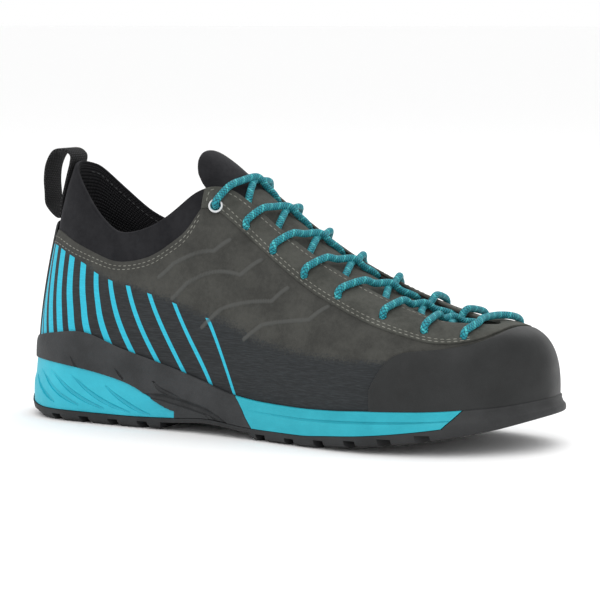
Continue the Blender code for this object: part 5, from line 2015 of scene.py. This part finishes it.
    def rand(self) -> None:
        """The smooth rubber round the toe."""
        last = self.kit.last
        ends = np.linspace(129.6, 131.0, 5), np.linspace(229.0, 230.4, 5)
        turns = np.concatenate((ends[0], np.linspace(131.6, 228.4, 180), ends[1]))
        border = last.share_at_height(turns, last.rim(turns) - 0.0020)
        low, high = lambda turn: np.interp(turn, turns, border), lambda turn: last.rib("rand", turn)
        made = self.overlay(turns, low, high, last.gap * 0.5, self.rand_thickness, 26, 0.04, 1.4)
        put("toe_rubber", made, [self.kit.of(RAND)], ["toe_rand"])

    def strip(self) -> None:
        """The dark patch up the heel that the pull loop is sewn to."""
        last = self.kit.last
        turns = np.linspace(-12.0, 12.0, 49)
        border = last.share_at_height(turns % 360, last.rim(turns % 360) - 0.0020)
        low, high = lambda turn: np.interp(turn, turns, border), lambda turn: 0.70 + 0.0 * turn
        made = self.overlay(turns, low, high, last.gap * 0.3, self.strip_thickness, 24, 0.04, 1.0)
        put("heel_patch", made, [self.kit.of(RAND)], ["heel_strip"])


def standing(last: Last, turn: float, lift: float = 0.0, share: float | None = None) -> Matrix:
    """Matrix that stands on the upper at an eyelet, its Z pointing out.

    Args:
        last: the form under the upper.
        turn: the eyelet's turn.
        lift: height over the skin.
        share: how far up the rib, or None for the eyelet's own place.

    Returns:
        The matrix.
    """
    share = last.eyelet_share(turn) if share is None else share
    spot = np.array([turn]), np.array([share])
    low = last.at(*spot, lift)[0]
    out = Vector(last.normal(*spot)[0])
    return Matrix.Translation(Vector(low)) @ out.to_track_quat("Z", "Y").to_matrix().to_4x4()


@dataclass
class Tongue:
    """The padded tongue under the laces."""

    kit: Kit
    turns: tuple[float, ...] = (174, 169, 163, 156, 148, 139, 129, 119, 110, 102, 95, 89, 85)
    tip: tuple[tuple[float, float, float], ...] = (
        (0.30, 1.0, 0.0), (0.62, 0.98, 0.0), (0.86, 0.88, -0.01), (1.0, 0.62, -0.03),
    )
    cloth_rows: float = 4.6
    rise: float = 0.030
    thickness: float = 0.0045
    lap: float = 0.0100
    clearance: float = 0.0008
    crown: float = 1.0
    top: np.ndarray = field(default_factory=lambda: np.zeros((0, 0, 3)))

    def station(self, upper: Upper, turn: float, shift: np.ndarray, narrowing: float) -> np.ndarray:
        """Points across the tongue at one pair of ribs.

        Args:
            upper: the wall over the tongue.
            turn: turn of the outer rib.
            shift: how far the points are moved.
            narrowing: share of the full width.

        Returns:
            The points, from the outer side to the inner one.
        """
        last = self.kit.last
        sides = []
        for side in (turn, mirrored(turn)):
            shares = 1.0 - self.lap * narrowing * last.share_per_length(side) * np.array((1.0, 0.5, 0.0))
            turned = np.full(3, float(side))
            depth = upper.thickness(turned, np.ones(3)) + upper.step(turned) + self.clearance
            sides.append(last.skin(turned, shares) - last.normal(turned, shares) * depth[:, None])
        outer, inner = sides
        span = float(np.linalg.norm(inner[-1] - outer[-1]))
        lead = unit(outer[-1] - outer[-2]) * span * self.crown
        trail = unit(inner[-2] - inner[-1]) * span * self.crown
        bridge = []
        for part in (0.2, 0.4, 0.6, 0.8):
            start = (1 + 2 * part) * (1 - part) ** 2 * outer[-1] + part * (1 - part) ** 2 * lead
            finish = part**2 * (3 - 2 * part) * inner[-1] + part**2 * (part - 1) * trail
            bridge.append(start + finish)
        row = np.vstack((outer, bridge, inner[::-1]))
        middle = row.mean(axis=0)
        return middle + (row - middle) * narrowing + shift

    def prepare(self, upper: Upper) -> None:
        """Work out the tongue's top, which the laces also lie on.

        Args:
            upper: the wall over the tongue.
        """
        rows = [self.station(upper, turn, np.zeros(3), 1.0) for turn in self.turns]
        last_row_at = rows[-1].mean(axis=0)
        heading = unit(last_row_at - rows[-2].mean(axis=0))
        for reach, narrowing, lean in self.tip:
            shift = heading * reach * self.rise + np.array((lean * self.rise, 0.0, 0.0))
            rows.append(self.station(upper, self.turns[-1], shift, narrowing))
        self.top = np.array(rows)

    def normals(self) -> np.ndarray:
        """Direction up out of the tongue at each of its points."""
        return unit(np.cross(np.gradient(self.top, axis=1), np.gradient(self.top, axis=0)))

    def read(self, grid: np.ndarray, position: np.ndarray, column: np.ndarray) -> np.ndarray:
        """Smooth value of a grid between its rows and columns.

        Args:
            grid: values in rows and columns.
            position: places among the rows.
            column: places among the columns.

        Returns:
            One value for each pair of places.
        """
        rows = np.arange(grid.shape[0])
        columns = np.arange(grid.shape[1])
        position, column = np.atleast_1d(position), np.atleast_1d(column)

        def weights(at: np.ndarray, count: int) -> list[tuple[np.ndarray, np.ndarray]]:
            """Four neighbours and their cubic weights.

            Args:
                at: places between the lines of the grid.
                count: how many lines it has.

            Returns:
                Four pairs of a line and its weight.
            """
            low = np.clip(np.floor(at).astype(int), 0, count - 2)
            t = at - low
            factors = (
                -0.5 * t + t**2 - 0.5 * t**3,
                1 - 2.5 * t**2 + 1.5 * t**3,
                0.5 * t + 2 * t**2 - 1.5 * t**3,
                -0.5 * t**2 + 0.5 * t**3,
            )
            return [(np.clip(low + step, 0, count - 1), factor) for step, factor in enumerate(factors, -1)]

        made = np.zeros((len(position), 3))
        for row, row_weight in weights(position, len(rows)):
            for col, col_weight in weights(column, len(columns)):
                made += grid[row, col] * (row_weight * col_weight)[:, None]
        return made

    def spot(self, turn: float, across: float, height: float) -> np.ndarray:
        """Point above the tongue at a turn of the throat and a share of the way over it.

        Args:
            turn: turn of the outer rib.
            across: share of the way over.
            height: distance above the tongue.

        Returns:
            The point.
        """
        position = float(np.interp(-turn, [-each for each in self.turns], range(len(self.turns))))
        column = 2 + across * (self.top.shape[1] - 5)
        base = self.read(self.top, position, column)[0]
        out = unit(self.read(self.normals(), position, column))[0]
        return base + out * height

    def build(self) -> None:
        """Build the suede front and the cloth top as one padded piece."""
        rows = len(self.top) - 1
        columns = self.top.shape[1] - 1
        normals = self.normals()
        around = np.linspace(0.0, 1.0, 65)
        along = np.linspace(0.0, rows, 150)

        def place(section: np.ndarray, position: np.ndarray) -> np.ndarray:
            """Point round the tongue's section: over its top, round its border and back under it.

            Args:
                section: how far round the section.
                position: places along the tongue.

            Returns:
                The points.
            """
            over = section < 0.5
            part = np.where(over, section * 2, 2 - section * 2)
            column = part * columns
            base = self.read(self.top, position, column)
            out = unit(self.read(normals, position, column))
            border = np.sqrt(np.clip(1 - np.abs(part * 2 - 1) ** 8, 0.0, 1.0))
            end = np.sqrt(np.clip(1 - np.clip((position - rows + 1.2) / 1.2, 0, 1) ** 4, 0.05, 1.0))
            full = border * end
            puff = 0.0007 * np.sin(part * math.pi) * smooth_step(rows - 5.0, rows - 2.0, position)
            sunk = (1 - full) * self.thickness / 2
            depth = np.where(over, -sunk + puff, -self.thickness + sunk)
            return base + out * depth[:, None]

        def cloth(section: np.ndarray, position: np.ndarray) -> np.ndarray:
            """Metres across and along."""
            return np.stack((section * 0.14, position / rows * 0.17), axis=-1)

        made = bent_grid(around, along, place, wrap_across=True, capped=True, marks={"cloth": cloth})
        plain = made.loops.layers.uv["UVMap"]
        for face in made.faces:
            far = max(loop[plain].uv[1] for loop in face.loops)
            face.material_index = int(far > rows - self.cloth_rows)
        wear_map(made, "cloth")
        made.normal_update()
        dressings = [self.kit.of(STAY_SUEDE), self.kit.of(COLLAR_KNIT)]
        piece = put("tongue_pad", made, dressings, ["tongue"])


@dataclass
class Lacing:
    """The lace, run through its eyelets, and the two top rings."""

    kit: Kit
    upper: Upper
    tongue: Tongue
    diameter: float = 0.0037
    clearance: float = 0.0002
    spread: float = 0.24
    bore: float = 0.0020
    barrel: float = 0.0026
    flange: float = 0.0037
    flange_thickness: float = 0.0008

    def build(self) -> None:
        """Build every crossing, the bar at the toe and the rings."""
        turns = [eyelet.turn for eyelet in EYELETS]
        for index, (high, low) in enumerate(zip(turns, turns[1:])):
            made = bmesh.new()
            for outer in (True, False):
                path = smooth_path(self.strand(high, low, outer), 8)
                add_mesh(made, tube(path, self.diameter / 2, 16))
            put(f"lace_crossing_{index + 1}", made, [self.kit.of(LACE)], [f"lace_cross_{index + 1}"])
        made = tube(smooth_path(self.toe_bar(), 8), self.diameter / 2, 16)
        put("lace_bar", made, [self.kit.of(LACE)], ["lace_toe_bar"])
        self.rings()

    def on_upper(self, turn: float, share: float, lift: float) -> np.ndarray:
        """Point over the upper."""
        return self.kit.last.at(np.array([turn]), np.array([share]), lift)[0]

    def strand(self, high: float, low: float, outer: bool) -> list[np.ndarray]:
        """Route of a lace out from under one side, over the tongue and down the eyelet above on the other.

        Args:
            high: turn of the eyelet above.
            low: turn of the eyelet below.
            outer: whether it ends on the outer side.

        Returns:
            Its points.
        """
        last = self.kit.last
        rest = self.diameter / 2 + self.clearance
        over = last.gap + self.upper.stay_thickness + rest
        ringed = high == EYELETS[0].turn
        flange = self.flange_thickness if ringed else 0.0

        def flip(share: float) -> float:
            """The same share from this strand's own side."""
            return share if outer else 1 - share

        def side(turn: float) -> float:
            """The turn on the side where this strand ends."""
            return turn if outer else float(mirrored(turn))

        crossing = high + (low - high) * self.spread
        emerging = low - (low - high) * self.spread
        middle = (high + low) / 2
        hole = last.eyelet_share(side(high))
        hop = 0.0024 if outer else 0.0
        return [
            self.tongue.spot(emerging + 0.5, flip(1.06), rest * 0.4),
            self.tongue.spot(emerging, flip(0.90), rest * 0.8),
            self.tongue.spot(emerging * 0.55 + middle * 0.45, flip(0.70), rest),
            self.tongue.spot(middle, flip(0.50), rest + hop),
            self.tongue.spot(middle * 0.5 + crossing * 0.5, flip(0.22), rest + hop * 0.5 + 0.0006),
            self.on_upper(side(crossing), 1.0, over),
            self.on_upper(side(high * 0.75 + crossing * 0.25), hole + (1 - hole) * 0.35, over + flange * 0.6),
            self.on_upper(side(high), hole + (1 - hole) * 0.10, over + flange - 0.0004),
            self.on_upper(side(high), hole, over - 0.0030),
            self.on_upper(side(high), hole, -0.0012),
        ]

    def toe_bar(self) -> list[np.ndarray]:
        """Route of the bar across the toe end of the throat.

        Returns:
            Its points.
        """
        last = self.kit.last
        low = EYELETS[-1].turn
        over = last.gap + self.upper.stay_thickness + self.diameter / 2 + self.clearance
        share = last.eyelet_share(low)
        route = [
            (low, share, -0.0012),
            (low, share, over - 0.0030),
            (low + 0.8, share + (1 - share) * 0.12, over - 0.0003),
            (low + 6.0, share + (1 - share) * 0.55, over),
            (166.0, 1.0, over + 0.0004),
        ]
        route += [(float(mirrored(turn)), part, lift) for turn, part, lift in reversed(route)]
        return [self.on_upper(*spot) for spot in route]

    def rings(self) -> None:
        """The two metal rings at the top."""
        seat = self.kit.last.gap + self.upper.stay_thickness
        foot = -self.upper.wall
        wide, tall = self.flange, self.flange_thickness
        section = [
            (self.bore, foot),
            (self.barrel, foot),
            (self.barrel, seat),
            (wide - 0.0002, seat),
            (wide, seat + tall * 0.3),
            (wide - 0.0003, seat + tall * 0.8),
            (wide - 0.0009, seat + tall),
            (self.bore + 0.0004, seat + tall * 0.7),
            (self.bore, seat),
        ]
        for name, turn in (("ring_outer", EYELETS[0].turn), ("ring_inner", float(mirrored(EYELETS[0].turn)))):
            made = bmesh.new()
            bmesh.ops.create_circle(made, radius=1.0, segments=len(section))
            for vert, (radius, height) in zip(made.verts, section):
                vert.co = (radius, 0.0, height)
            geom = list(made.verts) + list(made.edges)
            bmesh.ops.spin(
                made, geom=geom, cent=(0, 0, 0), axis=(0, 0, 1), angle=math.tau, steps=40, use_merge=True
            )
            bmesh.ops.remove_doubles(made, verts=made.verts, dist=WELD)
            bmesh.ops.recalc_face_normals(made, faces=made.faces)
            bmesh.ops.transform(made, matrix=standing(self.kit.last, turn), verts=made.verts)
            put(name, made, [self.kit.of(METAL)], [f"eyelet_{name.split('_')[1]}"])


@dataclass
class PullLoop:
    """The webbing loop at the heel."""

    kit: Kit
    width: float = 0.0150
    thickness: float = 0.0016
    front: tuple[float, ...] = (0.715, 0.79, 0.86, 0.93, 0.98)
    back: tuple[tuple[float, float], ...] = (
        (0.004, 1.035), (0.045, 1.060), (0.110, 1.050), (0.150, 0.990),
        (0.163, 0.920), (0.160, 0.850), (0.150, 0.780),
    )
    section: tuple[tuple[float, float], ...] = (
        (-0.5, 0.0), (-0.49, 0.35), (-0.46, 0.5), (0.46, 0.5), (0.49, 0.35), (0.5, 0.0),
        (0.49, -0.35), (0.46, -0.5), (-0.46, -0.5), (-0.49, -0.35), (-0.5, 0.0),
    )

    def build(self) -> None:
        """Build the loop as one closed band."""
        last = self.kit.last
        half = self.thickness / 2
        edge = last.skin(np.float64(0.0), np.float64(1.0))
        front = np.array(self.front)
        offset = last.gap + half - 0.0009
        route = list(last.skin(0.0 * front, front) + last.normal(0.0 * front, front) * offset)
        for back, height in self.back:
            x = edge[0] - back * last.collar_height
            route.append(np.array((x, 0.0, last.seat_height + height * last.collar_height)))
        route = np.array(route)
        route[:, 1] = 0.0
        closed = np.vstack((route[-2:], route, route[:3]))
        path = smooth_path(closed, 10)[20:-20]
        path = path[: len(route) * 10 + 1]
        heading = unit(np.roll(path, -1, axis=0) - np.roll(path, 1, axis=0))
        heading[0] = heading[-1] = unit(path[1] - path[-2])
        side = np.cross(heading, (0.0, 1.0, 0.0))
        run = np.concatenate(([0.0], np.cumsum(np.linalg.norm(np.diff(path, axis=0), axis=1))))
        wide_at, lift_at = np.array(self.section).T

        def place(row: np.ndarray, far: np.ndarray) -> np.ndarray:
            """Point of the band.

            Args:
                row: rows of the section.
                far: distances along the band.

            Returns:
                The points.
            """
            row = row.astype(int)
            spot = np.searchsorted(run, far - 1e-9).clip(0, len(run) - 1)
            made = path[spot] + side[spot] * (lift_at[row] * self.thickness)[:, None]
            made[:, 1] += wide_at[row] * self.width
            return made

        def cloth(row: np.ndarray, far: np.ndarray) -> np.ndarray:
            """Metres across and along."""
            return np.stack((wide_at[row.astype(int)] * self.width + 0.01, far), axis=-1)

        made = bent_grid(range(len(wide_at)), run, place, True, True, marks={"cloth": cloth})
        wear_map(made, "cloth")
        put("heel_loop", made, [self.kit.of(WEBBING)], ["pull_loop"])


@dataclass
class Stitching:
    """Rows of stitches on the upper, each stitch a small grain of thread."""

    kit: Kit
    pitch: float = 0.0031
    length: float = 0.0021
    radius: float = 0.00027

    def row(self, made: bmesh.types.BMesh, spots: Sequence[tuple[float, float]], lift: float) -> None:
        """Sew along a line of turns and shares, on both sides of the shoe.

        Args:
            made: the mesh that grows.
            spots: the line's turns and shares.
            lift: height over the skin.
        """
        last = self.kit.last
        turns, shares = np.array(spots).T
        fine = np.linspace(0.0, len(spots) - 1, 400)
        turn = np.interp(fine, range(len(spots)), turns)
        share = np.interp(fine, range(len(spots)), shares)
        for turned in (turn, mirrored(turn)):
            sewn = bmesh.new()
            path = last.at(turned, share, lift)
            run = np.concatenate(([0.0], np.cumsum(np.linalg.norm(np.diff(path, axis=0), axis=1))))
            for far in np.arange(self.pitch / 2, run[-1], self.pitch):
                spot, ahead = (
                    np.array([np.interp(at, run, path[:, axis]) for axis in range(3)])
                    for at in (far, far + self.pitch / 4)
                )
                turned_to = Vector(ahead - spot).to_track_quat("Z", "Y").to_matrix().to_4x4()
                shape = Matrix.Diagonal((self.radius, self.radius, self.length / 2, 1.0))
                place = Matrix.Translation(Vector(spot)) @ turned_to @ shape
                bmesh.ops.create_uvsphere(sewn, u_segments=6, v_segments=4, radius=1.0, matrix=place)
            add_mesh(made, sewn)

    def build(self, upper: Upper) -> None:
        """Sew the eyestay, the quarter's top edge and the collar.

        Args:
            upper: the upper that is sewn.
        """
        last = self.kit.last
        made = bmesh.new()
        stay = last.gap * 0.3 + upper.stay_thickness
        turns = np.linspace(80.0, 158.0, 60)
        low = last.rib("stay", turns)
        for inset in (0.018, 0.050):
            self.row(made, list(zip(turns, low + inset)), stay)
        top = np.linspace(82.0, 150.0, 50)
        inner = 1.0 - np.array([last.share_per_length(each) for each in top]) * 0.0035
        self.row(made, list(zip(top, inner)), stay)
        self.row(made, [(79.2, 0.895), (79.2, 0.93), (79.4, 0.965), (81.0, 0.978)], stay)
        cuff = np.linspace(8.0, 77.5, 60)
        self.row(made, list(zip(cuff, last.rib("cuff", cuff) - 0.030)), 0.0)
        self.row(made, list(zip(cuff, last.rib("cuff", cuff) - 0.055)), 0.0)
        put("stitches", made, [self.kit.of(THREAD)])
        rim = bmesh.new()
        edge = np.linspace(8.0, 76.0, 60)
        self.row(rim, [(each, 0.955) for each in edge], -upper.wall - upper.pad - 0.0012)
        put("rim_stitches", rim, [self.kit.of(DARK_THREAD)])


@dataclass
class Studio:
    """Floor, lights and camera."""

    kit: Kit
    azimuth: float = 30.0
    elevation: float = 7.0
    distance: float = 1.3
    lens: float = 153.0
    target: tuple[float, float, float] = (0.0, 0.0, 0.05)
    aim: tuple[float, float, float] = (0.0073, 0.0042, 0.066)

    def build(self) -> None:
        """Put up all of it."""
        self.floor()
        self.lights()
        self.camera()

    def floor(self) -> None:
        """A plain pale floor."""
        made = bmesh.new()
        bmesh.ops.create_grid(made, x_segments=8, y_segments=8, size=60.0)
        mesh = bpy.data.meshes.new("floor")
        made.to_mesh(mesh)
        made.free()
        mesh.materials.append(self.kit.of(FLOOR))
        plane = bpy.data.objects.new("floor", mesh)
        bpy.context.scene.collection.objects.link(plane)

    def lights(self) -> None:
        """Three soft lamps and a pale sky."""
        for name, spot, size, power in (
            ("key", (0.7, -1.3, 1.5), 1.4, 9.0),
            ("fill", (-1.4, -0.9, 0.9), 1.6, 3.0),
            ("top", (0.2, 0.9, 1.8), 1.6, 12.0),
        ):
            lamp = bpy.data.lights.new(name, "AREA")
            lamp.size = size
            lamp.energy = power
            holder = bpy.data.objects.new(name, lamp)
            holder.location = spot
            holder.rotation_euler = (Vector(self.target) - Vector(spot)).to_track_quat("-Z", "Y").to_euler()
            bpy.context.scene.collection.objects.link(holder)
        world = bpy.data.worlds.new("studio")
        world.use_nodes = True
        sky = world.node_tree.nodes["Background"]
        sky.inputs["Color"].default_value = (1.0, 1.0, 1.0, 1.0)
        sky.inputs["Strength"].default_value = 1.0
        bpy.context.scene.world = world

    def camera(self) -> None:
        """The photograph's viewing angle, aimed at the one shoe."""
        turned, raised = math.radians(self.azimuth), math.radians(self.elevation)
        flat = math.cos(raised)
        back = Vector((math.sin(turned) * flat, -math.cos(turned) * flat, math.sin(raised)))
        eye = Vector(self.target) + back * self.distance
        lens = bpy.data.cameras.new("camera")
        lens.lens = self.lens
        lens.sensor_width = 36.0
        holder = bpy.data.objects.new("camera", lens)
        holder.location = eye
        holder.rotation_euler = (Vector(self.aim) - eye).to_track_quat("-Z", "Y").to_euler()
        bpy.context.scene.collection.objects.link(holder)
        bpy.context.scene.camera = holder
        bpy.context.scene.view_settings.view_transform = "Standard"


def main() -> None:
    """Build the shoe's pieces in order, then the studio."""
    logging.basicConfig(level=logging.INFO, format="%(message)s")
    kit = Kit(Last(), Effects())
    Sole(kit).build()
    upper = Upper(kit)
    upper.build()
    tongue = Tongue(kit)
    tongue.prepare(upper)
    tongue.build()
    Lacing(kit, upper, tongue).build()
    PullLoop(kit).build()
    Stitching(kit).build(upper)
    Studio(kit).build()


if __name__ == "__main__":
    main()
